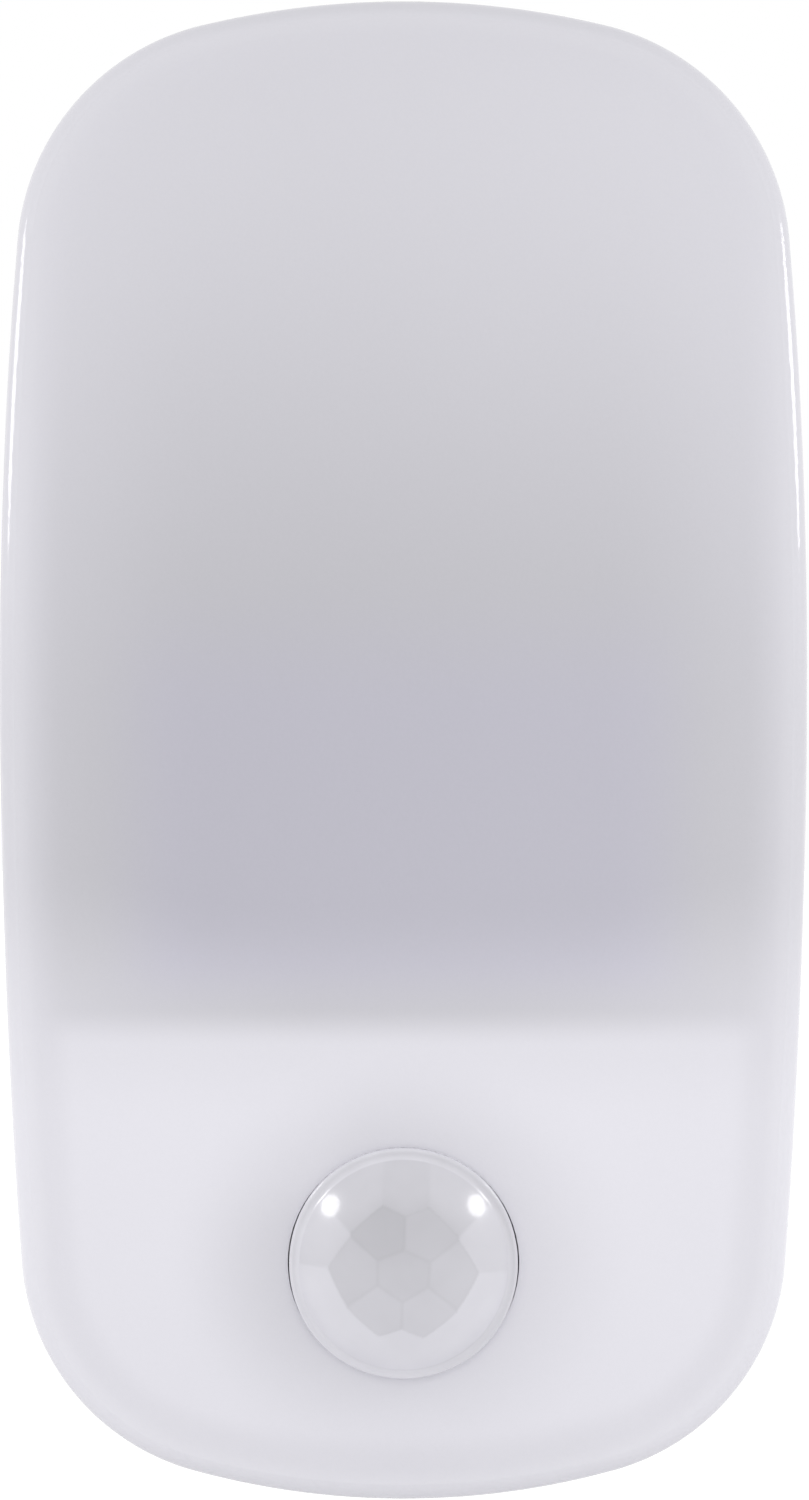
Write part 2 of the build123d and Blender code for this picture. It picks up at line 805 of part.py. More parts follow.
def bulk_capacitor():
    """Electrolytic capacitor lying across the board, with the rolled groove near its sealed end."""
    x, height = bulk_capacitor_place
    line = board_front + bulk_capacitor_lift + bulk_capacitor_diameter / 2
    place = Pos(x, -line, up(height)) * Rot(0, 90, 0)
    can = Cylinder(bulk_capacitor_diameter / 2, bulk_capacitor_length)
    can = fillet(can.edges().filter_by(GeomType.CIRCLE), bulk_capacitor_groove)
    groove_z = -bulk_capacitor_length / 2 + 4 * bulk_capacitor_groove
    groove_radius = (bulk_capacitor_diameter + bulk_capacitor_groove) / 2
    return place * (can - Pos(0, 0, groove_z) * Torus(groove_radius, bulk_capacitor_groove))


def bulk_capacitor_leads():
    end = bulk_capacitor_place[0] - bulk_capacitor_length / 2
    return group([bent_lead(x, z, rise, end, z) for x, z, rise in wire_lead_feet()[2:]])


def fuse_resistor():
    """Fusible resistor lying along the board: a body with a cap at each end."""
    x, height = fuse_place
    line = board_front + fuse_lift + fuse_diameter / 2
    body = Cylinder(fuse_diameter / 2 - fuse_cap_step, fuse_length)
    for side in (-1, 1):
        cap_z = side * (fuse_length - fuse_cap_length) / 2
        cap = Cylinder(fuse_diameter / 2, fuse_cap_length)
        body += Pos(0, 0, cap_z) * fillet(cap.edges().filter_by(GeomType.CIRCLE), fuse_cap_step)
    return Pos(x, -line, up(height)) * body


def fuse_leads():
    x, height = fuse_place
    leads = []
    for foot_x, foot_height, rise in wire_lead_feet()[:2]:
        side = 1 if foot_height > height else -1
        leads.append(bent_lead(foot_x, foot_height, rise, x, height + side * fuse_length / 2))
    return group(leads)


def varistor():
    """Dipped disc that stands on edge above the board."""
    x, height = varistor_place
    line = board_front + varistor_lift + varistor_diameter / 2
    body = Cylinder(varistor_diameter / 2, varistor_thickness)
    body = fillet(body.edges().filter_by(GeomType.CIRCLE), varistor_thickness / 3)
    return Pos(x, -line, up(height)) * body - varistor_leads()


def varistor_leads():
    x, height = varistor_place
    near = board_out - pin_past_board
    far = board_front + varistor_lift + varistor_diameter / 2
    spots = [x + side * varistor_lead_spacing / 2 for side in (-1, 1)]
    return group([rod(spot, height, lead_diameter, near, far) for spot in spots])


def chip(place, size, thickness):
    """Moulded body of a flat chip, held off the board by its feet."""
    near = board_front + chip_foot_height
    return block(*place, *size, near, near + thickness)


def chip_leads(place, size, count, pitch):
    """Two rows of flat feet beside a chip, above and below it."""
    x, height = place
    feet = []
    for i in range(count):
        foot_x = x + (i - (count - 1) / 2) * pitch
        for side in (-1, 1):
            foot_height = height + side * (size[1] + chip_foot_length) / 2
            foot_top = board_front + chip_foot_height
            foot = block(foot_x, foot_height, chip_foot_width, chip_foot_length, board_front, foot_top)
            shoulder_height = height + side * (size[1] + chip_foot_height) / 2
            shoulder_top = board_front + chip_height / 2
            sizes = chip_foot_width, chip_foot_height
            feet.append(foot + block(foot_x, shoulder_height, *sizes, board_front, shoulder_top))
    return group(feet)


def chip_resistor_places():
    places = []
    for height, first, last in chip_resistor_rows:
        count = round((last - first) / chip_resistor_pitch) + 1
        places += [(first + i * chip_resistor_pitch, height) for i in range(count)]
    return places


def chip_resistors():
    length, width, thickness = chip_resistor_size
    body = length * (1 - 2 * chip_cap_share)
    far = board_front + thickness
    return group([block(x, z, width, body, board_front, far) for x, z in chip_resistor_places()])


def chip_resistor_caps():
    length, width, thickness = chip_resistor_size
    cap = length * chip_cap_share
    shift = (length - cap) / 2
    far = board_front + thickness
    ends = [(x, height + side * shift) for x, height in chip_resistor_places() for side in (-1, 1)]
    return group([block(x, z, width, cap, board_front, far) for x, z in ends])


# ---- Plug blades, holder and fasteners ----
def blade(side):
    """One flat blade: the part outside, ears behind the wall, and a narrow tail through the board."""
    x = side * blade_spacing / 2
    thickness = blade_thickness
    outside = block(x, plug_height, thickness, blade_width, -blade_length, holder_far)
    tip = outside.faces().sort_by(Axis.Y)[-1]
    outside = chamfer(tip.edges().filter_by(Axis.X), blade_tip_chamfer)
    ears = block(x, plug_height, thickness, blade_ear_width, casing_wall, holder_near)
    tail_end = board_front + blade_tail_past_board
    tail = block(x, plug_height, thickness, blade_tail_width, holder_near, tail_end)
    hole = Pos(x, blade_hole_from_wall, up(plug_height)) * Rot(0, 90, 0)
    return outside + ears + tail - hole * Cylinder(blade_hole_diameter / 2, 2 * thickness)


def blade_holder():
    holder = block(0, plug_height, holder_width, holder_height, holder_near, holder_far)
    holder = fillet(holder.edges().filter_by(Axis.Y), holder_corner_radius)
    for side in (-1, 1):
        slot = blade_thickness + 2 * blade_clearance, blade_width + 2 * blade_clearance
        holder -= block(side * blade_spacing / 2, plug_height, *slot, holder_near, holder_far)
        x = side * holder_screw_spacing / 2
        holder -= rod(x, plug_height, holder_screw_diameter, holder_near, holder_far)
    return holder


def screw(x, height, seat, direction, diameter, length, head_diameter, head_height):
    """Pan-head screw whose head sits on a seat and whose shank goes out (direction 1) or back (-1)."""
    tip = seat + direction * length
    top = seat - direction * head_height
    shank = rod(x, height, diameter, min(seat, tip), max(seat, tip))
    head = rod(x, height, head_diameter, min(seat, top), max(seat, top))
    outer = head.faces().sort_by(Axis.Y)[-1 if direction > 0 else 0]
    head = fillet(outer.edges(), head_height / 3)
    size = screw_recess_length * head_diameter / screw_head_diameter
    depth = top + direction * screw_recess_depth * head_height / screw_head_height
    width = screw_recess_width * head_diameter / screw_head_diameter
    span = min(top, depth), max(top, depth)
    recess = block(x, height, size, width, *span) + block(x, height, width, size, *span)
    return shank + head - recess


def casing_screws():
    sizes = screw_diameter, screw_length, screw_head_diameter, screw_head_height
    return group([screw(x, height, screw_seat, 1, *sizes) for x, height in screw_positions()])


def holder_screws():
    length = holder_thickness + holder_screw_depth
    sizes = holder_screw_diameter, length, holder_screw_head_diameter, holder_screw_head_height
    half = holder_screw_spacing / 2
    return group([screw(side * half, plug_height, holder_far, -1, *sizes) for side in (-1, 1)])


# ---- Mode switch. Its parts are laid out across, from the knob's face inwards ----
def switch_box(x_outer, x_inner, width, length, shift=0.0):
    """Box on the switch's line, between two distances across, shifted up from the middle."""
    x = (x_outer + x_inner) / 2
    half = width / 2
    return block(x, switch_height + shift, x_outer - x_inner, length, switch_out - half, switch_out + half)


def switch_knob():
    """Ribbed knob in the window, with a skirt behind the wall that keeps the window covered."""
    knob = switch_box(knob_face_x, skirt_x, knob_width, knob_length)
    knob = fillet(knob.faces().sort_by(Axis.X)[-1].edges(), knob_rib_depth)
    for i in range(knob_rib_count):
        shift = (i - (knob_rib_count - 1) / 2) * knob_rib_pitch
        knob -= switch_box(knob_face_x, knob_face_x - knob_rib_depth, knob_width, knob_rib_depth, shift)
    skirt = switch_box(skirt_x, skirt_x - skirt_thickness, window_width_side + skirt_overlap, skirt_length)
    socket = switch_box(skirt_x + skirt_thickness, skirt_x - skirt_thickness, stem_width, stem_length)
    return knob + skirt - socket


def switch_slider():
    """Carriage inside the switch, with a stem that reaches up into the knob."""
    width = switch_frame_width - 2 * switch_frame_sheet - 2 * slider_clearance
    slider = switch_box(slider_x, slider_x - slider_depth, width, slider_length)
    slider += switch_box(skirt_x + skirt_thickness, slider_x, stem_width, stem_length)
    return slider - detent_bore()


def detent_bore():
    """Cross bore in the slider that holds the detent's spring and ball."""
    x = slider_x - slider_depth / 2
    diameter = detent_ball_diameter + slider_clearance
    near = switch_out - diameter / 2
    return rod(x, switch_height, diameter, near, switch_out + switch_frame_width)


def detent_ball():
    """Ball that clicks along the inside of the switch's frame."""
    x = slider_x - slider_depth / 2
    far = switch_out + switch_frame_width / 2 - switch_frame_sheet - slider_clearance / 2
    return Pos(x, -(far - detent_ball_diameter / 2), up(switch_height)) * Sphere(detent_ball_diameter / 2)


def detent_spring():
    """Short coil that pushes the ball out, ground flat at both ends."""
    x = slider_x - slider_depth / 2
    near = switch_out - detent_ball_diameter / 2
    ball_back = switch_out + switch_frame_width / 2 - switch_frame_sheet - detent_ball_diameter
    length = ball_back - near
    radius = (detent_ball_diameter - slider_clearance) / 2 - detent_spring_wire / 2
    pitch = (length - detent_spring_wire) / detent_spring_turns
    path = Helix(pitch, length - detent_spring_wire, radius)
    coil = sweep(Plane(path @ 0, z_dir=path % 0) * Circle(detent_spring_wire / 2), path, is_frenet=True)
    place = Pos(x, -near - detent_spring_wire / 2, up(switch_height)) * Rot(90, 0, 0)
    return place * coil


def contact_clip():
    """Sprung strip under the slider that bridges the switch's pins."""
    top = slider_x - slider_depth
    width = switch_frame_width / 2
    clip = switch_box(top, top - clip_thickness, width, slider_length - 2 * clip_thickness)
    for side in (-1, 1):
        shift = side * switch_pin_pitch / 2
        clip += switch_box(top, pin_top_x + clip_clearance, width, 2 * clip_thickness, shift)
    return clip


def switch_frame():
    """Folded metal frame, with a slot for the stem and a hole for the ball at each position."""
    outer = switch_box(frame_x, frame_inner_x, switch_frame_width, switch_frame_length)
    sheet = switch_frame_sheet
    inner_size = switch_frame_width - 2 * sheet, switch_frame_length - 2 * sheet
    frame = outer - switch_box(frame_x - sheet, frame_inner_x, *inner_size)
    slot_length = stem_length + 2 * switch_travel + 2 * knob_clearance
    frame -= switch_box(frame_x, frame_x - sheet, stem_width + 2 * slider_clearance, slot_length)
    ball_x = slider_x - slider_depth / 2
    far = switch_out + switch_frame_width / 2
    for shift in (-switch_travel, 0.0, switch_travel):
        frame -= rod(ball_x, switch_height + shift, detent_hole_diameter, far - sheet, far)
    return frame


def switch_base():
    """Insulating plate that closes the frame and carries the pins."""
    size = switch_frame_width - 2 * switch_frame_sheet, switch_frame_length - 2 * switch_frame_sheet
    base = switch_box(pin_top_x, frame_inner_x, *size)
    for x, height in switch_pin_places():
        base -= switch_pin(x, height)
    return base


def switch_pin(x, height):
    """Pin that starts flush in the base, steps back out of it and turns into the board."""
    size = switch_pin_size
    across = switch_box(pin_top_x, x - size / 2, size, size, height - switch_height)
    return across + block(x, height, size, size, switch_out, board_front + pin_past_board)


flat_chips = {
    "control_chip": (control_chip_place, control_chip_size, chip_height, control_chip_feet, chip_foot_pitch),
    "driver_chip": (driver_chip_place, driver_chip_size, chip_height, driver_chip_feet, chip_foot_pitch),
    "rectifier": (rectifier_place, rectifier_size, rectifier_height, rectifier_feet, rectifier_foot_pitch),
}

nodes = {
    "front_cover": front_cover(),
    "rear_casing": rear_casing(),
    "pir_lens": pir_lens(),
    "lens_ring": lens_ring(),
    "light_tray": light_tray(),
    "sensor_panel": sensor_panel(),
    "main_board": main_board(),
    "led_board": led_board(),
    "led_packages": led_packages(),
    "led_phosphors": led_phosphors(),
    "link_pins": link_pins(),
    "link_strip": link_strip(),
    "pir_can": pir_can(),
    "pir_window": pir_window(),
    "pir_header": pir_header(),
    "pir_pins": pir_pins(),
    "pir_standoff": pir_standoff(),
    "light_sensor": light_sensor(),
    "light_sensor_leads": light_sensor_leads(),
    "film_capacitor": film_capacitor(),
    "bulk_capacitor": bulk_capacitor(),
    "bulk_capacitor_leads": bulk_capacitor_leads(),
    "fuse_resistor": fuse_resistor(),
    "fuse_leads": fuse_leads(),
    "varistor": varistor(),
    "varistor_leads": varistor_leads(),
    "chip_resistors": chip_resistors(),
    "chip_resistor_caps": chip_resistor_caps(),
    "blade_left": blade(-1),
    "blade_right": blade(1),
    "blade_holder": blade_holder(),
    "holder_screws": holder_screws(),
    "casing_screws": casing_screws(),
    "switch_knob": switch_knob(),
    "switch_slider": switch_slider(),
    "switch_frame": switch_frame(),
    "switch_base": switch_base(),
    "switch_pins": group([switch_pin(x, height) for x, height in switch_pin_places()]),
    "contact_clip": contact_clip(),
    "detent_ball": detent_ball(),
    "detent_spring": detent_spring(),
}
for name, (place, size, thickness, count, pitch) in flat_chips.items():
    nodes[name] = chip(place, size, thickness)
    nodes[f"{name}_leads"] = chip_leads(place, size, count, pitch)

os.makedirs("parts", exist_ok=True)
for name, shape in nodes.items():
    export_step(shape, f"parts/{name}.step")
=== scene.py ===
# %% [markdown]
# # A plug-in night light
# The light is a palm-sized plastic body that hangs on two plug blades. A white casing holds the circuit, and
# an opal cover closes it and spreads the light. Low on the cover sits the milky dome of a motion sensor.
# The exact solids come from a CAD model, which loads as a fixed frame. Blender adds what CAD doesn't give:
# the finish of each plastic and metal, the lens with its cells, softened metal edges, lettering, camera and
# light.

# %% Load the frame
from math import acos, asin, atan, cos, degrees, pi, radians, sin, sqrt

import bmesh
import bpy
from mathutils import Matrix, Vector


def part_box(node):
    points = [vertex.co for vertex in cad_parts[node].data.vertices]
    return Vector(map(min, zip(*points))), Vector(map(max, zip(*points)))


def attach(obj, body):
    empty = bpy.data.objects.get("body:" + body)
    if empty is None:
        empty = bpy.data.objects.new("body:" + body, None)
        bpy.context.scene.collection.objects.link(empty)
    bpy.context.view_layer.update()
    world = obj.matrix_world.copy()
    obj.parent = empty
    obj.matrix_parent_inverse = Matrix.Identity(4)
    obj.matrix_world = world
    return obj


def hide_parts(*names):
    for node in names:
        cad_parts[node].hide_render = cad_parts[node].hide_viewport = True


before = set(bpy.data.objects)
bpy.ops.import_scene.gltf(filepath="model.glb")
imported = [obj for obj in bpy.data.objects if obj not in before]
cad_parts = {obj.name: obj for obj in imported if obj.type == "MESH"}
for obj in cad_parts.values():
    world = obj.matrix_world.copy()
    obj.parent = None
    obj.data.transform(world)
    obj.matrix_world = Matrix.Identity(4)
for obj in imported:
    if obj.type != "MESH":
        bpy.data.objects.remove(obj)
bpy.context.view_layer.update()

# %% [markdown]
# ## Places and sizes
# The frame is in metres, with Z up, X to the right and the light shining towards -Y. The wall is the plane
# Y = 0. A night light is easier to think of in millimetres: across, out from the wall, and up from its
# lowest point. One small function turns those into a place in the frame, so every later number can be read
# off a drawing. Lengths below are in millimetres, unless a comment says otherwise. The main ones come from
# the boxes of the solids, rounded to a tenth, because the frame's curves are made of small flat faces.

# %% A place in millimetres
MM = 0.001


def node_box(name):
    """Lowest and highest corner of a solid at rest, in millimetres."""
    return [[round(value / MM, 1) for value in corner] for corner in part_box(name)]


cover_low, cover_high = node_box("front_cover")
plug_height = -cover_low[2]
body_height = cover_high[2] + plug_height
crown_out = -cover_low[1]
crown_height = body_height / 2
crown_radius_across = 150.0
crown_radius_up = 320.0


def place(across, out, height):
    """A point of the frame from millimetres across, out from the wall and up from the lowest point."""
    return Vector((across, -out, height - plug_height)) * MM


def face_out(across, height):
    """How far out the cover's crowned front face is."""
    drop = across**2 / (2 * crown_radius_across) + (height - crown_height) ** 2 / (2 * crown_radius_up)
    return crown_out - drop


print("body height", body_height, "plug height", plug_height, "front", face_out(0, crown_height), "mm out")

# %% [markdown]
# ## Camera
# The light is seen straight from the front, filling the frame from edge to edge. A long lens from over half
# a metre keeps its sides nearly parallel, as in product pictures. A wide lens close by would make the dome
# bulge. The distance follows from the lens: the body has to fill nearly all of the frame's long side.

# %% Camera straight in front
filled = 0.998  # share of the frame's height that the body fills
shoulder_out = 25.3  # where the body's outline is seen, just behind the rounded front edge
camera_across = 0.07  # the body stands a hair left of the middle
camera_data = bpy.data.cameras.new("camera")
camera_data.lens = 200
camera_data.sensor_width = 36
camera_distance = body_height * camera_data.lens / camera_data.sensor_width / filled + shoulder_out
camera = bpy.data.objects.new("camera", camera_data)
camera.location = place(camera_across, camera_distance, body_height / 2)
camera.rotation_euler = (pi / 2, 0, 0)
bpy.context.scene.collection.objects.link(camera)
bpy.context.scene.camera = camera
bpy.context.scene.view_settings.view_transform = "Standard"
print("camera stands", round(camera_distance), "mm from the wall plane")

# %% [markdown]
# ## Node helpers
# A material is a small graph: coordinates go in, a few masks are worked out, and colour, roughness and
# relief come out. A few helpers keep that readable. The first adds a node and fills or links its sockets.
# The others are that helper with a particular node: a sum, the soft step that most masks are built from, a
# mix of two colours, and a group.


# %% Nodes and sums
def add_node(tree, kind, inputs=None, **settings):
    """Add a node, set its properties, and fill its inputs with values or link them to other nodes."""
    made = tree.nodes.new(kind)
    for name, value in settings.items():
        setattr(made, name, value)
    for key, value in (inputs or {}).items():
        if isinstance(value, bpy.types.NodeSocket):
            tree.links.new(value, made.inputs[key])
        else:
            made.inputs[key].default_value = value
    return made


def compute(tree, operation, *values):
    """A Math node on values or sockets."""
    return add_node(tree, "ShaderNodeMath", dict(enumerate(values)), operation=operation).outputs[0]


def plus(tree, first, *others):
    """The sum of values or sockets."""
    for other in others:
        first = compute(tree, "ADD", first, other)
    return first


def times(tree, first, *others):
    """The product of values or sockets."""
    for other in others:
        first = compute(tree, "MULTIPLY", first, other)
    return first


def minus(tree, first, second):
    """The difference of two values or sockets."""
    return compute(tree, "SUBTRACT", first, second)


def choose(tree, factor, if_no, if_yes):
    """if_no where the factor is 0, if_yes where it is 1, and a blend in between."""
    return plus(tree, if_no, times(tree, factor, minus(tree, if_yes, if_no)))


print("helpers for nodes and sums are ready")


# %% Soft steps, colours and groups
def soft_step(tree, value, start, end, low=0.0, high=1.0):
    """Goes smoothly from low to high while the value goes from start to end."""
    sockets = {"Value": value, "From Min": start, "From Max": end, "To Min": low, "To Max": high}
    return add_node(tree, "ShaderNodeMapRange", sockets, interpolation_type="SMOOTHSTEP").outputs[0]


def mix_colours(tree, factor, first, second, blend="MIX"):
    """Mix or multiply two colours. The Mix node keeps its colour sockets at 6 and 7."""
    sockets = {0: factor, 6: first, 7: second}
    return add_node(tree, "ShaderNodeMix", sockets, data_type="RGBA", blend_type=blend).outputs[2]


def axes_of(tree, vector):
    """The three numbers of a vector, as sockets."""
    return add_node(tree, "ShaderNodeSeparateXYZ", {0: vector}).outputs


def use_group(tree, group, inputs):
    """Place a group in a material."""
    return add_node(tree, "ShaderNodeGroup", inputs, node_tree=group)


def new_group(name, inputs, outputs):
    """An empty shader node group with named sockets, and its input and output nodes."""
    tree = bpy.data.node_groups.new(name, "ShaderNodeTree")
    for label, kind, value in inputs:
        socket = tree.interface.new_socket(label, in_out="INPUT", socket_type="NodeSocket" + kind)
        if value is not None:
            socket.default_value = value
    for label in outputs:
        tree.interface.new_socket(label, in_out="OUTPUT", socket_type="NodeSocketFloat")
    return tree, tree.nodes.new("NodeGroupInput"), tree.nodes.new("NodeGroupOutput")


print("helpers for steps, colours and groups are ready")

# %% [markdown]
# ## Moulded grain
# Moulded plastic is never one flat colour. Its tone drifts a little over centimetres, where the melt cooled
# faster or slower, and the mould's spark-eroded wall leaves a grain a fraction of a millimetre wide.
# Every plastic here shares both, at its own scale, so the effect is a node group: built once, placed in each
# material. A painted image could do it too, but noise needs no file and has no seams.

# %% Group: drift and grain
noise_span = (0.3, 0.7)  # nearly all of a noise's values lie here
middle_span = (0.35, 0.65)


def build_grain_group():
    """Group that gives the slow drift and the fine grain at a place."""
    tree, into, out = new_group(
        "drift and grain",
        [("Place", "Vector", None), ("Drift size", "Float", 12.0), ("Grain size", "Float", 0.3)],
        ["Drift", "Grain"],
    )
    for label, size, detail in (("Drift", "Drift size", 2.0), ("Grain", "Grain size", 3.0)):
        scale = compute(tree, "DIVIDE", 1 / MM, into.outputs[size])
        sockets = {"Vector": into.outputs["Place"], "Scale": scale, "Detail": detail}
        noise = add_node(tree, "ShaderNodeTexNoise", sockets)
        tree.links.new(noise.outputs[0], out.inputs[label])
    return tree


grain_group = build_grain_group()
print("group", grain_group.name, "has sockets", [item.name for item in grain_group.interface.items_tree])

# %% [markdown]
# ## How far a point lies inside the outline
# Seen from the front, an opal cover is lighter along its rim, where the side wall stands behind it edge-on.
# To paint that, the material has to know its distance from the outline. The outline is ten arcs that touch
# smoothly, so the distance from each is its radius minus the distance from its centre. The group picks the
# right arc for each point: a corner inside its wedge, and otherwise the nearest of side, top and base. It
# uses the distance to the left or right alike, so one half of the outline is enough.

# %% Arcs of the outline
widest_height = 59.36
sides = {"above": (-351.5, 380.0), "below": (-591.5, 620.0)}  # centre across, radius
ends = {"top": (43.745, 62.255), "base": (56.96, 56.96)}  # centre height, radius
corners = {  # centre across, centre height, radius, angles where the side and the end touch it
    "shoulder": (10.479, 87.873, 16.9, 4.504, 76.64),
    "chin": (10.669, 17.828, 16.4, -3.945, -74.75),
}


def inside_arc(tree, across, height, centre_across, centre_height, radius):
    """How far inside an arc a point lies, and where it lies from the arc's centre."""
    x = minus(tree, across, centre_across)
    z = minus(tree, height, centre_height)
    from_centre = compute(tree, "SQRT", plus(tree, times(tree, x, x), times(tree, z, z)))
    return minus(tree, radius, from_centre), x, z


def beside_ray(tree, x, z, angle, turn):
    """1 where a point lies on the turn side of a ray from the corner's centre."""
    side = minus(tree, times(tree, z, cos(angle)), times(tree, x, sin(angle)))
    return compute(tree, "GREATER_THAN", times(tree, side, turn), 0.0)


def build_outline_group():
    """Group that tells where on the body a place lies, and how far inside the outline."""
    outputs = ["Distance", "Height", "Across", "Sideways"]
    tree, into, out = new_group("distance inside the outline", [("Place", "Vector", None)], outputs)
    axes = axes_of(tree, into.outputs["Place"])
    sideways = times(tree, axes[0], 1 / MM)
    across = compute(tree, "ABSOLUTE", sideways)
    height = plus(tree, times(tree, axes[2], 1 / MM), plug_height)
    above, below = (
        inside_arc(tree, across, height, sides[part][0], widest_height, sides[part][1])[0]
        for part in ("above", "below")
    )
    top, base = (inside_arc(tree, across, height, 0.0, *ends[part])[0] for part in ("top", "base"))
    side = choose(tree, compute(tree, "GREATER_THAN", height, widest_height), below, above)
    distance = compute(tree, "MINIMUM", side, compute(tree, "MINIMUM", top, base))
    for centre_across, centre_height, radius, low, high in corners.values():
        turn = 1.0 if high > 0 else -1.0
        rounded, x, z = inside_arc(tree, across, height, centre_across, centre_height, radius)
        past_side = beside_ray(tree, x, z, radians(low), turn)
        before_end = beside_ray(tree, x, z, radians(high), -turn)
        distance = choose(tree, times(tree, past_side, before_end), distance, rounded)
    for label, value in zip(outputs, (distance, height, across, sideways)):
        tree.links.new(value, out.inputs[label])
    return tree


outline_group = build_outline_group()
print("outline group has", len(outline_group.nodes), "nodes")

# %% [markdown]
# ## Materials
# Three more helpers serve every material: one makes it with its shader and object coordinates, one sets
# plain numbers on the shader, and one turns a mask into relief. Object coordinates stay with the piece when
# its body moves, so a pattern never slides over the plastic.


# %% Material helpers
def new_material(name):
    """A material with its tree, its Principled shader and object coordinates."""
    material = bpy.data.materials.new(name)
    material.use_nodes = True
    tree = material.node_tree
    coordinates = add_node(tree, "ShaderNodeTexCoord").outputs["Object"]
    return material, tree, tree.nodes["Principled BSDF"], coordinates


def set_shader(shader, **values):
    """Plain numbers, set on the shader's own sockets."""
    for name, value in values.items():
        shader.inputs[name.replace("_", " ").title().replace("Ior", "IOR")].default_value = value


def relief(tree, shader, height, depth):
    """Turn a mask into a bump that is so many millimetres deep."""
    bump = add_node(tree, "ShaderNodeBump", {"Height": height, "Distance": depth * MM, "Strength": 1.0})
    tree.links.new(bump.outputs[0], shader.inputs["Normal"])


print("material helpers are ready")

# %% [markdown]
# ## The shade round the lens
# Behind the cover, a thick boss carries the lens and keeps the light of the panel from its surroundings. Its
# shadow, seen through the cover, is painted into the cover's colour as a soft grey ring that fades over
# a few millimetres. It is wider than it is high, a little stronger to the left and above, and weaker on the
# upper left diagonal.

# %% Mask: painted shade round the lens
lens_height = 16.9
shade_squash = 0.78
shade_slant = 0.6
shade_ring = (15.2, 7.0, 0.0, 0.096)  # each step: start, end, and the value at either
shade_side = (10.0, -10.0, 0.71, 1.29)
shade_upper_left = (2.0, 7.0, 1.0, 0.72)


def painted_lens_shade(tree, coordinates):
    """How much painted shade darkens the cover near the lens."""
    sockets = {0: coordinates, 1: place(0, 0, lens_height)}
    offset = axes_of(tree, add_node(tree, "ShaderNodeVectorMath", sockets, operation="SUBTRACT").outputs[0])
    x, z = (times(tree, offset[axis], 1 / MM) for axis in (0, 2))
    radius = compute(tree, "SQRT", plus(tree, times(tree, x, x, shade_squash), times(tree, z, z)))
    side = minus(tree, x, times(tree, z, shade_slant))
    upper_left = compute(tree, "MINIMUM", times(tree, x, -1.0), z)
    masks = ((radius, shade_ring), (side, shade_side), (upper_left, shade_upper_left))
    return times(tree, *(soft_step(tree, value, *step) for value, step in masks))


print("the lens sits", lens_height, "mm up")

# %% [markdown]
# ## Opal cover
# The cover is white plastic filled with a fine diffuser, two millimetres thick. Unlit, it shows faintly what
# stands behind it, by the room's light that passes through and comes back. Low down, a white panel lies
# close behind, so it looks white. Above the shelf the reflector leans away from it, nearest at the top and
# deepest at the shelf, so the tone sinks from pale to grey, and it turns a little blue where the space is
# deepest. Just above the shelf's white edge it lightens again, and that glow reaches higher at the sides.
# The side wall lightens the rim, with a thin shade at its foot.
# A true volume scatter would need hundreds of samples and the inside modelled as lit. Here that light and
# shade is painted into the base colour: each soft step below is one of those neighbours, with its place in
# millimetres. The face is satin and its rounded edge is polished, which a coat does that fades in near the
# outline.

# %% Steps of the opal cover's painted light and shade
shelf_edge = 33.5
shelf_blur = 1.47
opal_steps = {  # start, end, and the value at either
    "reflector": (52.7, 99.9, 0.513, 0.650),  # by height
    "panel": (32.9, 26.6, 0.771, 0.809),
    "foot shade": (6.0, 0.0, 0.0, 0.042),
    "below shelf": (shelf_edge + shelf_blur, shelf_edge - shelf_blur),
    "wall above": (60.0, 100.0, 0.934, 0.676),
    "edge shade grows": (5.0, 60.0),
    "blue ends": (66.0, 55.0),
    "blue starts": (34.0, 38.5),
    "glow top": (12.0, 24.0, 42.6, 45.3),  # by distance from the middle
    "glow middle": (5.0, 16.0, 0.82, 1.0),
    "edge middle": (8.0, 15.0, 0.86, 1.0),
    "blue flanks": (22.5, 15.5),
    "edge light": (4.6, 0.3, 0.0, 0.226),  # by distance inside the outline
    "edge glow": (15.1, 0.0, 0.0, 0.155),
    "wall foot in": (4.8, 3.0),
    "wall foot out": (1.0, 2.4),
    "lean fades": (0.5, 6.0),
    "edge shade": (1.3, 0.2, 0.0, 0.07),
    "polish": (2.4, 1.4),
}
glow_foot = 33.0
glow_tone = 0.122
wall_below = 0.735
wall_foot_shade = 0.029
lean_ends = (-24.0, 18.0)  # the cover's left is a touch darker than its right
lean_left = {"above": -0.014, "below": -0.002}
lean_right = 0.008
opal_drift = 0.012
opal_speckle = 0.02
opal_rough = (0.38, 0.46)
opal_relief = 0.002
opal_tint = (1.006, 0.995, 1.065, 1.0)
opal_blue_tint = (1.012, 0.995, 1.125, 1.0)
print("the opal cover is told in", len(opal_steps), "steps")


# %% Painted light and shade of the face and of the wall
def painted_light_behind_face(tree, step, below_shelf, height, across):
    """Painted light and shade from behind the face: reflector and glow above the shelf, the panel below."""
    glow = soft_step(tree, height, step("glow top", across), glow_foot, 0.0, glow_tone)
    above = plus(tree, step("reflector", height), times(tree, glow, step("glow middle", across)))
    below = minus(tree, step("panel", height), step("foot shade", height))
    return choose(tree, below_shelf, above, below)


def with_painted_wall_light_and_shade(tree, step, tone, below_shelf, distance, height, across):
    """The tone with the side wall's painted light along the rim, and painted shade at the wall's foot."""
    edge = plus(tree, step("edge light", distance), step("edge glow", distance))
    wall = choose(tree, below_shelf, step("wall above", height), wall_below)
    tone = choose(tree, times(tree, edge, step("edge middle", across)), tone, wall)
    foot = times(tree, step("wall foot in", distance), step("wall foot out", distance))
    return minus(tree, tone, times(tree, foot, choose(tree, below_shelf, 0.0, wall_foot_shade)))


print("the shelf's edge shows", shelf_edge, "mm up")


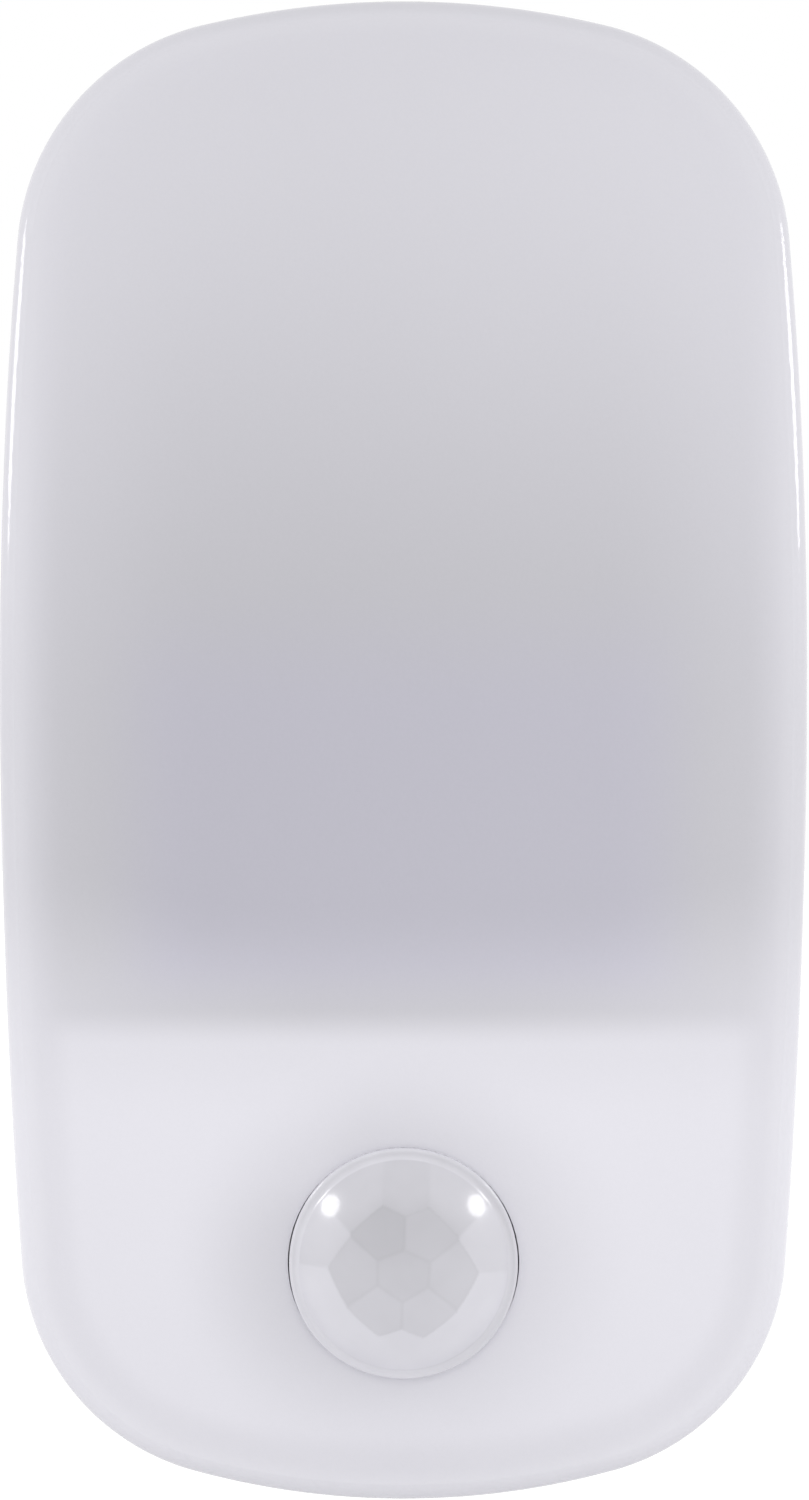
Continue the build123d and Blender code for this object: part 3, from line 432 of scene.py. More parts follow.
# %% Material: opal cover
def build_opal():
    """Material of the cover."""
    material, tree, shader, coordinates = new_material("opal_cover")
    outline = use_group(tree, outline_group, {"Place": coordinates}).outputs
    distance, height, across = (outline[label] for label in ("Distance", "Height", "Across"))
    grain = use_group(tree, grain_group, {"Place": coordinates, "Drift size": 22.0, "Grain size": 0.22})
    drift, speckle = (grain.outputs[label] for label in ("Drift", "Grain"))

    def step(name, value):
        return soft_step(tree, value, *opal_steps[name])

    below_shelf = step("below shelf", height)
    tone = painted_light_behind_face(tree, step, below_shelf, height, across)
    tone = with_painted_wall_light_and_shade(tree, step, tone, below_shelf, distance, height, across)
    for noise, strength in ((drift, opal_drift), (speckle, opal_speckle)):
        tone = plus(tree, tone, times(tree, minus(tree, noise, 0.5), strength))
    left = choose(tree, below_shelf, lean_left["above"], lean_left["below"])
    lean = soft_step(tree, outline["Sideways"], *lean_ends, left, lean_right)
    tone = plus(tree, tone, times(tree, lean, step("lean fades", distance)))
    # Painted shade along the rounded edge, growing with height, offsets the light that the coat adds there.
    edge_shade = times(tree, step("edge shade", distance), step("edge shade grows", height))
    tone = minus(tree, tone, plus(tree, painted_lens_shade(tree, coordinates), edge_shade))
    blue = times(tree, step("blue ends", height), step("blue starts", height), step("blue flanks", across))
    tint = mix_colours(tree, blue, opal_tint, opal_blue_tint)
    tree.links.new(mix_colours(tree, 1.0, tint, tone, "MULTIPLY"), shader.inputs["Base Color"])
    tree.links.new(soft_step(tree, drift, *noise_span, *opal_rough), shader.inputs["Roughness"])
    tree.links.new(step("polish", distance), shader.inputs["Coat Weight"])
    set_shader(shader, ior=1.46, specular_ior_level=0.12, coat_roughness=0.10, coat_ior=1.5)
    relief(tree, shader, speckle, opal_relief)
    return material


opal = build_opal()
print("opal cover uses", len(opal.node_tree.nodes), "nodes")

# %% [markdown]
# ## Plain mouldings
# The other plastics are simpler: two close tones that drift into each other, a roughness that drifts with
# them and a shallow grain. One builder makes them all, and a table holds what sets them apart: the casing is
# satin, the inner mouldings are duller, the knob is smoother. The light-emitting diodes, the circuit's parts
# and the sensor's window come from the same table.

# %% Builder and table: plain finishes
plain_finishes = {  # pale and deep colour, drift size, grain size, roughness from and to, relief depth
    "casing_white": ((0.76, 0.76, 0.785), (0.73, 0.73, 0.76), 25, 0.35, (0.34, 0.44), 0.012),
    "inner_white": ((0.84, 0.84, 0.85), (0.79, 0.79, 0.80), 15, 0.4, (0.45, 0.6), 0.01),
    "knob_white": ((0.72, 0.72, 0.745), (0.68, 0.68, 0.70), 3, 0.12, (0.25, 0.35), 0.003),
    "led_white": ((0.86, 0.86, 0.84), (0.80, 0.80, 0.78), 2, 0.1, (0.3, 0.4), 0.0),
    "phosphor": ((0.85, 0.62, 0.10), (0.75, 0.50, 0.06), 0.8, 0.08, (0.35, 0.5), 0.004),
    "black_plastic": ((0.03, 0.03, 0.032), (0.018, 0.018, 0.02), 4, 0.2, (0.35, 0.5), 0.006),
    "chip_body": ((0.035, 0.035, 0.037), (0.02, 0.02, 0.021), 2, 0.1, (0.5, 0.65), 0.006),
    "resistor_black": ((0.04, 0.04, 0.045), (0.02, 0.02, 0.022), 1, 0.08, (0.3, 0.45), 0.0),
    "sleeve_black": ((0.03, 0.032, 0.05), (0.015, 0.016, 0.03), 5, 0.2, (0.2, 0.3), 0.004),
    "film_yellow": ((0.78, 0.55, 0.08), (0.66, 0.44, 0.05), 6, 0.3, (0.3, 0.4), 0.008),
    "fuse_green": ((0.12, 0.30, 0.16), (0.08, 0.22, 0.11), 2, 0.15, (0.45, 0.6), 0.01),
    "varistor_blue": ((0.05, 0.14, 0.42), (0.03, 0.09, 0.32), 2, 0.15, (0.3, 0.42), 0.012),
    "phenolic": ((0.30, 0.17, 0.08), (0.22, 0.12, 0.05), 2, 0.1, (0.5, 0.65), 0.004),
    "filter_dark": ((0.06, 0.05, 0.07), (0.035, 0.03, 0.045), 1.5, 0.1, (0.08, 0.14), 0.0),
    "clear_epoxy": ((0.62, 0.66, 0.70), (0.52, 0.56, 0.62), 1.5, 0.1, (0.06, 0.12), 0.0),
    "board_white": ((0.83, 0.83, 0.81), (0.78, 0.78, 0.76), 8, 0.3, (0.3, 0.4), 0.004),
}
grain_share = 0.35  # of the grain in the mix of colours, the rest being the drift


def build_finish(name, pale, deep, drift_size, grain_size, rough, relief_depth):
    """Finish whose colour and roughness drift between two close values."""
    material, tree, shader, coordinates = new_material(name)
    sockets = {"Place": coordinates, "Drift size": drift_size, "Grain size": grain_size}
    mottle = use_group(tree, grain_group, sockets).outputs
    blend = choose(tree, grain_share, mottle["Drift"], mottle["Grain"])
    colour = mix_colours(tree, soft_step(tree, blend, *middle_span), (*deep, 1.0), (*pale, 1.0))
    tree.links.new(colour, shader.inputs["Base Color"])
    tree.links.new(soft_step(tree, blend, *noise_span, *rough), shader.inputs["Roughness"])
    if relief_depth:
        relief(tree, shader, mottle["Grain"], relief_depth)
    return material


finishes = {name: build_finish(name, *numbers) for name, numbers in plain_finishes.items()}
print(len(finishes), "moulded and coated finishes")

# %% [markdown]
# ## Metals
# Stamped and drawn metal is brushed or rubbed one way, and its bare edges are brighter. Blades are nickel
# plated and slide into a socket, so fine scratches run along them. The scratches are noise squeezed by a
# Mapping node: short across the blade and long along it. Base colour is the metal's own tint, and Metallic
# is plainly 1.

# %% Builder and table: rubbed metals
scratch_stretch = (1.0, 0.04, 1.0)
metals = {  # bright and dull tint, roughness from and to, scratch size, relief depth
    "plated_brass": ((0.66, 0.63, 0.58), (0.56, 0.53, 0.48), (0.16, 0.34), 0.14, 0.003),
    "screw_steel": ((0.62, 0.60, 0.57), (0.50, 0.48, 0.45), (0.24, 0.4), 0.2, 0.003),
    "spring_steel": ((0.5, 0.5, 0.5), (0.4, 0.4, 0.4), (0.2, 0.34), 0.1, 0.001),
    "tinned_wire": ((0.72, 0.72, 0.72), (0.6, 0.6, 0.6), (0.25, 0.4), 0.1, 0.001),
    "can_nickel": ((0.68, 0.66, 0.62), (0.58, 0.56, 0.52), (0.18, 0.3), 0.15, 0.002),
}


def build_rubbed_group():
    """Group that gives the fine scratches and the soft smears at a place."""
    tree, into, out = new_group(
        "rubbed metal",
        [("Place", "Vector", None), ("Scratch size", "Float", 0.12), ("Smear size", "Float", 3.0)],
        ["Scratches", "Smears"],
    )
    spot = into.outputs["Place"]
    squeezed = add_node(tree, "ShaderNodeMapping", {"Vector": spot, "Scale": scratch_stretch}).outputs[0]
    for label, size, source in (("Scratches", "Scratch size", squeezed), ("Smears", "Smear size", spot)):
        scale = compute(tree, "DIVIDE", 1 / MM, into.outputs[size])
        noise = add_node(tree, "ShaderNodeTexNoise", {"Vector": source, "Scale": scale, "Detail": 3.0})
        tree.links.new(noise.outputs[0], out.inputs[label])
    return tree


def build_metal(name, bright, dull, rough, scratch_size, depth):
    """Metal with one-way scratches over soft smears."""
    material, tree, shader, coordinates = new_material(name)
    rubbed = use_group(tree, rubbed_group, {"Place": coordinates, "Scratch size": scratch_size}).outputs
    smears = soft_step(tree, rubbed["Smears"], *middle_span)
    colour = mix_colours(tree, smears, (*dull, 1.0), (*bright, 1.0))
    tree.links.new(colour, shader.inputs["Base Color"])
    tree.links.new(soft_step(tree, rubbed["Scratches"], *noise_span, *rough), shader.inputs["Roughness"])
    set_shader(shader, metallic=1.0)
    relief(tree, shader, rubbed["Scratches"], depth)
    return material


rubbed_group = build_rubbed_group()
finishes |= {name: build_metal(name, *numbers) for name, numbers in metals.items()}
print("metals:", list(metals))

# %% [markdown]
# ## Circuit board
# A board is glass cloth in green lacquer over copper tracks. The tracks lift the lacquer and show as a
# lighter green. A Brick texture with wide mortar gives straight tracks between pads, and the cloth's weave
# shows as a faint grid. Both are flat patterns, so they need no geometry.

# %% Material: green board
lacquer_green = (0.012, 0.13, 0.045, 1.0)
track_green = (0.03, 0.24, 0.09, 1.0)
weave_share = 0.08
weave_scale = 1600.0
track_layout = {"Scale": 300.0, "Mortar Size": 0.06, "Brick Width": 1.6, "Row Height": 0.5}
track_rough = (0.32, 0.22)
track_relief = 0.03


def build_board():
    """Green lacquer over tracks and weave."""
    material, tree, shader, coordinates = new_material("board_green")
    sockets = {"Vector": coordinates, "Rotation": (pi / 2, 0.0, 0.0)}
    flat = add_node(tree, "ShaderNodeMapping", sockets).outputs[0]
    tracks = add_node(tree, "ShaderNodeTexBrick", {"Vector": flat, **track_layout}).outputs["Fac"]
    weave = add_node(tree, "ShaderNodeTexChecker", {"Vector": flat, "Scale": weave_scale}).outputs[0]
    colour = mix_colours(tree, tracks, mix_colours(tree, weave_share, lacquer_green, weave), track_green)
    tree.links.new(colour, shader.inputs["Base Color"])
    tree.links.new(soft_step(tree, tracks, 0.0, 1.0, *track_rough), shader.inputs["Roughness"])
    relief(tree, shader, tracks, track_relief)
    return material


finishes["board_green"] = build_board()
track_pitch = track_layout["Row Height"] / track_layout["Scale"] / MM
print("the board's tracks lie", round(track_pitch, 2), "mm apart")

# %% [markdown]
# ## Dressing the CAD nodes
# Every solid of the frame already names its material slot. Where the solid's own shape is right, only its
# finish changes: the slot's name picks the material. Pieces that get a better shape below replace their
# node.

# %% Give every node its finish
finishes["opal_cover"] = opal
dressed = 0
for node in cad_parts.values():
    slot_name = node.data.materials[0].name.split(".")[0]
    if slot_name in finishes:
        node.material_slots[0].material = finishes[slot_name]
        dressed += 1
print("nodes dressed:", dressed, "of", len(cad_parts))

# %% [markdown]
# ## Making a piece from a bmesh
# A bmesh is Blender's editable mesh. Each new piece is shaped in one with the same operators as in the
# editor: bisect, merge, bevel, scale. This helper writes it to an object at the origin, shades it smooth
# except at sharp edges, makes it ride on its body, and hides the node it stands for.


# %% From bmesh to a riding piece
def finish_piece(bm, name, slot_name, body="housing", stands_for=(), sharp=35):
    """Write a bmesh to an object that rides on a body and takes a slot's finish."""
    mesh = bpy.data.meshes.new(name)
    bm.to_mesh(mesh)
    bm.free()
    mesh.shade_smooth()
    mesh.set_sharp_from_angle(angle=radians(sharp))
    piece = bpy.data.objects.new(name, mesh)
    bpy.context.scene.collection.objects.link(piece)
    mesh.materials.append(finishes[slot_name])
    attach(piece, body)
    if stands_for:
        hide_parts(*stands_for)
    print(name, "faces:", len(mesh.polygons))


# %% [markdown]
# ## The lens of the motion sensor
# The dome is thin milky polyethylene. Outside it is smooth and glossy. Inside it is moulded as a honeycomb
# of lenslets, each of which throws its own patch of the room onto the sensor: one in the middle, a ring of
# six, and ten round those. Through the milky wall they show as cells of slightly different grey.
# The lens sits square to the crowned cover, so its axis leans down a little. A matrix built from the cover's
# slope takes it there. It is also turned by two degrees in its hole, as a pushed-in part easily is.

# %% Frame of the lens
lens_drop = crown_height - lens_height
lens_tilt = atan(lens_drop / crown_radius_up)
lens_axis = Vector((0, -cos(lens_tilt), -sin(lens_tilt)))
lens_up = Vector((0, -sin(lens_tilt), cos(lens_tilt)))
lens_frame = Matrix((Vector((1, 0, 0)), lens_up, lens_axis)).transposed().to_4x4()
lens_frame.translation = place(0, face_out(0, lens_height), lens_height)
print("lens leans down by", round(degrees(lens_tilt), 2), "degrees")

# %% Directions of the lenslets
seat_turn = -2.0  # degrees
lenslet_leans = (  # of each ring: degrees across and up from the axis, for the right half
    [(0.0, -1.1)],
    [(7.6, 17.4), (22.1, -2.1), (10.0, -17.4)],
    [(0.0, 34.2), (20.2, 31.7), (40.1, 10.4), (38.7, -11.4), (21.5, -31.2), (0.0, -38.1)],
)
lenslets = []
for ring, leans in enumerate(lenslet_leans):
    for lean_across, lean_up in leans:
        for side in (-1, 1) if lean_across else (1,):
            x, y = side * sin(radians(lean_across)), sin(radians(lean_up))
            direction = Vector((x, y, sqrt(1 - x**2 - y**2)))
            lenslets.append((ring, Matrix.Rotation(radians(seat_turn), 3, "Z") @ direction))
print("lenslets:", len(lenslets))

# %% [markdown]
# The outer skin is a profile turned round the lens axis. It starts as a few points: the dome's arc from pole
# to foot, a hollow fillet into the flat rim, the rolled edge of the rim, and the flange. The fillet is worth
# its few points: it mirrors a lamp a second time, as a thin bright streak beside the spot on the dome. Each
# point becomes a ring of two hundred vertices, and quads join the rings, which leaves no facets to see.
# Blender's spin operator does the same, but it lists the faces in another order each run.

# %% Sizes of the lens
dome_radius = 9.4
dome_height = 4.3
rim_radius = 8.05
rim_level = 0.55
rim_roll = 0.25
foot_fillet = 0.5
barrel_radius = 7.05
flange_radius = node_box("pir_lens")[1][0]
flange_front = -2.6
flange_back = -3.6
dome_centre = dome_height - dome_radius
ring_steps = 200
weld = 0.001 * MM
print("the dome is cut from a ball", 2 * dome_radius, "mm across and stands", dome_height, "mm proud")


# %% Profile and rings
def arc_points(radius, end, count):
    """Points of a dome's arc, from its pole to the distance end from the axis."""
    angles = [asin(end / radius) * i / count for i in range(count + 1)]
    return [(radius * sin(angle), dome_centre + radius * cos(angle)) for angle in angles]


def round_points(centre, radius, start, end, count):
    """Points of a small round in the profile."""
    angles = [radians(start + (end - start) * i / count) for i in range(count + 1)]
    return [(centre[0] + radius * cos(angle), centre[1] + radius * sin(angle)) for angle in angles]


def turned(profile):
    """A profile of distance from the axis and level along it, turned into a skin."""
    bm = bmesh.new()
    rings = []
    for radius, level in profile:
        angles = [2 * pi * i / ring_steps for i in range(ring_steps if radius else 1)]
        spots = [(radius * cos(angle) * MM, radius * sin(angle) * MM, level * MM) for angle in angles]
        rings.append([bm.verts.new(spot) for spot in spots])
    for ring, next_ring in zip(rings, rings[1:]):
        for here in range(ring_steps):
            there = (here + 1) % ring_steps
            corners = (next_ring[here], next_ring[there], ring[there % len(ring)], ring[here % len(ring)])
            bm.faces.new(list(dict.fromkeys(corners)))  # a triangle where the ring is only the pole
    return bm


print("each ring has", ring_steps, "vertices")

# %% Outer skin of the lens
fillet_level = rim_level + foot_fillet
fillet_reach = dome_radius + foot_fillet  # from the dome's centre to the fillet's
fillet_across = sqrt(fillet_reach**2 - (fillet_level - dome_centre) ** 2)
fillet_start = 180 + degrees(asin((fillet_level - dome_centre) / fillet_reach))
dome_end = dome_radius * fillet_across / fillet_reach
lens_bm = turned(
    arc_points(dome_radius, dome_end, 72)
    + round_points((fillet_across, fillet_level), foot_fillet, fillet_start, 270, 10)[1:]
    + round_points((rim_radius - rim_roll, rim_level - rim_roll), rim_roll, 90, 0, 8)
    + [(rim_radius, flange_front), (flange_radius, flange_front)]
    + [(flange_radius, flange_back), (barrel_radius, flange_back)]
)
print("outer skin:", len(lens_bm.faces), "faces")

# %% [markdown]
# The inside starts as a smooth dome on a barrel. One plane per lenslet, square to its direction, slices off
# the bulge beyond it and leaves a flat facet, as a mould's polished pins would. `bisect_plane` cuts and
# clears, and the open cut is filled at once. Neighbouring facets meet in straight edges, which gives the
# honeycomb.

# %% Inner honeycomb
inner_radius = 8.85
facet_radius = 8.5
cut_snap = 1e-7  # metres
pole_centre = Vector((0, 0, dome_centre * MM))


def honeycomb():
    """The inside of the lens, with a flat facet for each lenslet, as a mesh."""
    bm = turned(arc_points(inner_radius, barrel_radius, 24) + [(barrel_radius, flange_back)])
    for _, direction in lenslets:
        cut = bmesh.ops.bisect_plane(
            bm,
            geom=bm.verts[:] + bm.edges[:] + bm.faces[:],
            dist=cut_snap,
            plane_co=pole_centre + direction * facet_radius * MM,
            plane_no=direction,
            clear_outer=True,
        )
        rim = [part for part in cut["geom_cut"] if isinstance(part, bmesh.types.BMEdge)]
        bmesh.ops.contextual_create(bm, geom=rim)
    mesh = bpy.data.meshes.new("honeycomb")
    bm.to_mesh(mesh)
    bm.free()
    return mesh


inner_mesh = honeycomb()
lens_bm.from_mesh(inner_mesh)
bpy.data.meshes.remove(inner_mesh)
bmesh.ops.remove_doubles(lens_bm, verts=lens_bm.verts, dist=2 * weld)
bmesh.ops.recalc_face_normals(lens_bm, faces=lens_bm.faces)
open_edges = [edge for edge in lens_bm.edges if not edge.is_manifold]
print("lens:", len(lens_bm.faces), "faces,", len(open_edges), "open edges")

# %% [markdown]
# The cells have to show on the outer skin. Each of its vertices finds the lenslet it lies over and how near
# it is to the border with the next one. Both go into attributes, which the material reads: the tone of the
# cell, which is painted light and shade, and a thin line of painted shade where two of the inner cells meet.
# Cells that look up or lie in the inner rings are darker, because less light comes back from behind them.
# The upper outer cells fade towards the inner ones, the low outer cells share one soft tone, and every
# border is a degree wide, so that it isn't ragged where it runs between two vertices.

# %% Tones of the cells
# The tones below are painted light and shade: darker as a cell looks up, and paler or darker to the right.
middle_tone = 0.567  # each tone is where a cell looks neither up nor down
ring_tone = 0.572
low_tone = 0.680
high_tone = 0.665
rim_tone = 0.69
middle_slope = 0.22  # how fast each darkens as it looks further up
ring_slope = 0.22
low_slope = 0.13
high_slope = 0.18
rim_slope = 0.05
slope_within_ring = 0.12  # and within one cell of the ring
ring_sideways = 0.02  # how much paler it is to the right, and how much more so further up
ring_sideways_up = 0.4
high_sideways = 0.008
rim_right_shade = 0.042
top_cell_shade = 0.015
border_width = 1.1  # degrees
fade_width = 8.0  # degrees
fade_depth = 0.04
full_fade_up = 0.3  # how far up a direction points where the fade is at its full strength
top_cell = max(range(len(lenslets)), key=lambda index: lenslets[index][1].y)
print("the top cell is lenslet", top_cell)


# %% Tone in a direction
def nearest_cells(direction):
    """Every lenslet's angle from a direction, in degrees, with its index, the nearest first."""
    cosines = [min(1.0, direction.dot(towards)) for _, towards in lenslets]
    return sorted((degrees(acos(cosine)), index) for index, cosine in enumerate(cosines))


def cell_tone(index, upward, from_inner):
    """How much light a cell gives back at a place that looks so far upward, so far from the inner cells."""
    ring, direction = lenslets[index]
    within = upward - direction.y
    if ring == 0:
        return middle_tone - middle_slope * within
    if ring == 1:
        sideways = (ring_sideways + ring_sideways_up * max(0.0, direction.y)) * direction.x
        return ring_tone - ring_slope * direction.y + sideways - slope_within_ring * within
    if direction.y < 0:
        return low_tone - low_slope * upward
    tone = high_tone - high_slope * direction.y + high_sideways * direction.x
    if index == top_cell:
        tone -= top_cell_shade
    fade = max(0.0, 1.0 - from_inner / fade_width) ** 2
    return tone - fade_depth * fade * min(1.0, max(0.0, upward) / full_fade_up)


def tone_at(direction):
    """Tone of the cell over which a direction lies, softened at its border, and how near the border is."""
    cells = nearest_cells(direction)
    (angle, index), (next_angle, neighbour) = cells[:2]
    border = (next_angle - angle) / 2 / border_width
    inner_angle = min(each for each, i in cells if lenslets[i][0] < 2)
    own, other = (cell_tone(i, direction.y, (inner_angle - angle) / 2) for i in (index, neighbour))
    line = max(0.0, 1.0 - border) if lenslets[index][0] < 2 else 0.0
    return own + (other - own) * max(0.0, 0.5 - border), line


print("tone on the lens's axis:", round(tone_at(Vector((0, 0, 1)))[0], 3))

# %% Tone of every vertex
tone_layer = lens_bm.verts.layers.float.new("cell_tone")
border_layer = lens_bm.verts.layers.float.new("cell_border")
inside_foot = dome_end * MM * 0.998  # the foot itself has the rim's tone
for vertex in lens_bm.verts:
    outward = vertex.co.xy.normalized()
    if vertex.co.xy.length < inside_foot:
        vertex[tone_layer], vertex[border_layer] = tone_at((vertex.co - pole_centre).normalized())
    else:
        vertex[tone_layer] = rim_tone - rim_slope * outward.y - rim_right_shade * max(0.0, outward.x)
tones = [vertex[tone_layer] for vertex in lens_bm.verts]
print("tones run from", round(min(tones), 3), "to", round(max(tones), 3))

# %% [markdown]
# The hole in the cover is a hair taller than it is wide, and the rim swells by a few hundredths of a
# millimetre on its diagonals, where it is pressed into the hole. So the dark gap round the lens is widest
# left and right and closes towards top and bottom. The finished lens then moves to its seat.

# %% Rim that fills its hole
rim_swell = 0.04
rim_height_scale = 1.02
rim_slack = 0.01
for vertex in lens_bm.verts:
    radius = vertex.co.xy.length / MM
    if rim_radius - rim_roll - rim_slack < radius < rim_radius + rim_slack:
        diagonal = 2 * vertex.co.x * vertex.co.y / vertex.co.xy.length_squared
        vertex.co.xy *= 1 + rim_swell / rim_radius * diagonal**2
lens_bm.transform(lens_frame @ Matrix.Diagonal((1.0, rim_height_scale, 1.0, 1.0)))
rim_width = 2 * rim_radius
print("rim is", rim_width, "mm wide and", round(rim_width * rim_height_scale, 2), "mm high")

# %% [markdown]
# The lens's finish reads both attributes, the painted light and shade of the cells and their borders, and
# tints them the faint blue of the cover's plastic. A thin coat over a rougher base gives the sharp spot of a
# lamp with a soft glow round it.

# %% Material: milky lens
milk_tint = (1.006, 0.995, 1.07, 1.0)
milk_cloud = (0.97, 1.0)
milk_rough = (0.20, 0.26)
border_shade = 0.05


def build_lens_finish():
    """Material that takes each cell's painted light and shade from the mesh."""
    material, tree, shader, coordinates = new_material("lens_milky")
    tone, border = (
        add_node(tree, "ShaderNodeAttribute", attribute_name=name).outputs["Fac"]
        for name in ("cell_tone", "cell_border")
    )
    sockets = {"Place": coordinates, "Drift size": 3.0, "Grain size": 0.25}
    grain = use_group(tree, grain_group, sockets).outputs
    milk = mix_colours(tree, 1.0, tone, milk_tint, "MULTIPLY")
    shade = minus(tree, 1.0, times(tree, border, border_shade))
    cloud = soft_step(tree, grain["Drift"], *noise_span, *milk_cloud)
    colour = mix_colours(tree, 1.0, milk, times(tree, shade, cloud), "MULTIPLY")
    tree.links.new(colour, shader.inputs["Base Color"])
    tree.links.new(soft_step(tree, grain["Grain"], *noise_span, *milk_rough), shader.inputs["Roughness"])
    set_shader(shader, coat_weight=0.8, coat_roughness=0.09, ior=1.5)
    return material


finishes["lens_milky"] = build_lens_finish()
finish_piece(lens_bm, "lens_dome", "lens_milky", stands_for=["pir_lens"], sharp=40)

# %% [markdown]
# ## Softened metal and plastic edges
# CAD edges are perfectly sharp, and nothing real is. A rounded edge catches a thin line of light, which is
# most of what makes a blade look like metal. The blades, the screws and the knob are copies of their solids:
# doubles merged, flat triangles dissolved, then every sharp edge bevelled by a tenth of a millimetre or two.

# %% Copy a solid and round its edges
flat_angle = 0.5  # degrees
sharp_angle = 30  # degrees


def softened(node_name, name, slot_name, width, body="housing"):
    """A copy of a solid with rounded edges, which stands for it."""
    bm = bmesh.new()
    bm.from_mesh(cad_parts[node_name].data)
    bmesh.ops.remove_doubles(bm, verts=bm.verts, dist=weld)
    bmesh.ops.dissolve_limit(bm, angle_limit=radians(flat_angle), verts=bm.verts, edges=bm.edges)
    sharp = [edge for edge in bm.edges if edge.is_manifold and edge.calc_face_angle() > radians(sharp_angle)]
    shape = {"offset_type": "OFFSET", "affect": "EDGES", "segments": 2, "profile": 0.5}
    bmesh.ops.bevel(bm, geom=sharp, offset=width * MM, material=-1, clamp_overlap=True, **shape)
    finish_piece(bm, name, slot_name, body, [node_name], sharp=60)


softened("blade_left", "blade_left_plated", "plated_brass", 0.16)
softened("blade_right", "blade_right_plated", "plated_brass", 0.16)
softened("casing_screws", "casing_screws_steel", "screw_steel", 0.08)
softened("switch_knob", "switch_knob_moulded", "knob_white", 0.08, body="mode_switch")

# %% [markdown]
# ## Lettering beside the switch
# The knob has three stops, and a user has to know which is which, so the casing says ON, AUTO and OFF in the
# strip between the switch's recess and the seam. Pad printing lays a film a hundredth or so of a millimetre
# thick. Each word is a text object made a mesh, scaled to its height, turned to run up the side, and leaned
# to lie on the side's slight curve.

# %% Printed words
knob_low, knob_high = node_box("switch_knob")
switch_height = plug_height + (knob_low[2] + knob_high[2]) / 2
word_pitch = 4.0
letter_height = 1.0
letter_line = 11.3  # out from the wall, midway between recess and seam
ink_depth = 0.015
text_depth = 0.01  # of the text object, in its own units, before it's scaled
text_weld = 1e-5


def side_across(height):
    """How far across the side wall is at a height below the widest point."""
    centre, radius = sides["below"]
    return centre + sqrt(radius**2 - (widest_height - height) ** 2)


def text_bmesh(word, name):
    """A word as a thick flat mesh, with its doubles merged."""
    writing = bpy.data.curves.new(name, "FONT")
    writing.body = word
    writing.align_x = "CENTER"
    writing.extrude = text_depth
    holder = bpy.data.objects.new(name, writing)
    bpy.context.scene.collection.objects.link(holder)
    mesh = bpy.data.meshes.new_from_object(holder)
    bpy.data.objects.remove(holder)
    bm = bmesh.new()
    bm.from_mesh(mesh)
    bpy.data.meshes.remove(mesh)
    bmesh.ops.remove_doubles(bm, verts=bm.verts, dist=text_weld)
    return bm


def printed(word, name, height):
    """A word printed on the side of the casing."""
    bm = text_bmesh(word, name)
    low = min(vertex.co.y for vertex in bm.verts)
    high = max(vertex.co.y for vertex in bm.verts)
    size = letter_height * MM / (high - low)
    bmesh.ops.translate(bm, verts=bm.verts, vec=(0, -(low + high) / 2, 0))
    bmesh.ops.scale(bm, verts=bm.verts, vec=(size, size, ink_depth * MM / text_depth))
    up_side = Matrix(((0, 0, 1), (0, -1, 0), (1, 0, 0))).to_4x4()
    lean = Matrix.Rotation(asin((widest_height - height) / sides["below"][1]), 4, "Y")
    spot = Matrix.Translation(place(side_across(height), letter_line, height))
    bm.transform(spot @ lean @ up_side)
    finish_piece(bm, name, "black_plastic")


for stop, word in ((1, "ON"), (0, "AUTO"), (-1, "OFF")):
    printed(word, f"word_{word.lower()}", switch_height + stop * word_pitch)

# %% [markdown]
# ## World, floor and lamps
# Product pictures of white things are made in a tent of white cloth, so light comes from everywhere. The
# world is that tent: a little brighter above and in front, where a photographer's lamps stand behind the
# cloth, and a little dimmer below and behind, so that every side of the body gets its own shade. Where the
# camera, a reflection or a clear piece looks at it, it is plain white. The Light Path node tells those rays
# apart.

# %% Tent of white light
tent_level = 0.90
tent_lean = 0.18
tent_towards = (0.0, -0.5, 0.866)  # where the cloth is brightest


def background_rays(tree):
    """1 for rays that look at the background: from the camera, or by a reflection or a clear piece."""
    path = add_node(tree, "ShaderNodeLightPath").outputs
    seen = compute(tree, "MAXIMUM", path["Is Camera Ray"], path["Is Glossy Ray"])
    return compute(tree, "MAXIMUM", seen, path["Is Transmission Ray"])


world = bpy.data.worlds.new("white tent")
bpy.context.scene.world = world
world.use_nodes = True
world_tree = world.node_tree
background = world_tree.nodes["Background"]
sky_direction = add_node(world_tree, "ShaderNodeTexCoord").outputs["Generated"]
sockets = {0: sky_direction, 1: tent_towards}
facing = add_node(world_tree, "ShaderNodeVectorMath", sockets, operation="DOT_PRODUCT").outputs["Value"]
cloth = plus(world_tree, times(world_tree, facing, tent_lean), tent_level)
strength = choose(world_tree, background_rays(world_tree), cloth, 1.0)
background.inputs["Color"].default_value = (1.0, 1.0, 1.0, 1.0)
world_tree.links.new(strength, background.inputs["Strength"])
print("tent is", tent_level - tent_lean, "to", tent_level + tent_lean, "bright")

# %% [markdown]
# The floor is pale and takes the light's soft shadow. A little emission, seen only by the same rays, lifts
# it to white without lighting the object. It is weakest under the object, so the shadow stays, and grows
# with distance, so that floor and tent meet without a line. The light belongs on a wall, so it hovers just
# over the floor.

# %% Floor
floor_gap = 14.0
floor_reach = 4.0  # metres, to each side
floor_tone = (0.8, 0.8, 0.8, 1.0)
body_middle_out = 15.0
near_lift = (0.04, 0.16, 0.13, 0.30)  # start and end in metres, and the emission at either
far_lift = (0.2, 2.0, 0.0, 0.1)


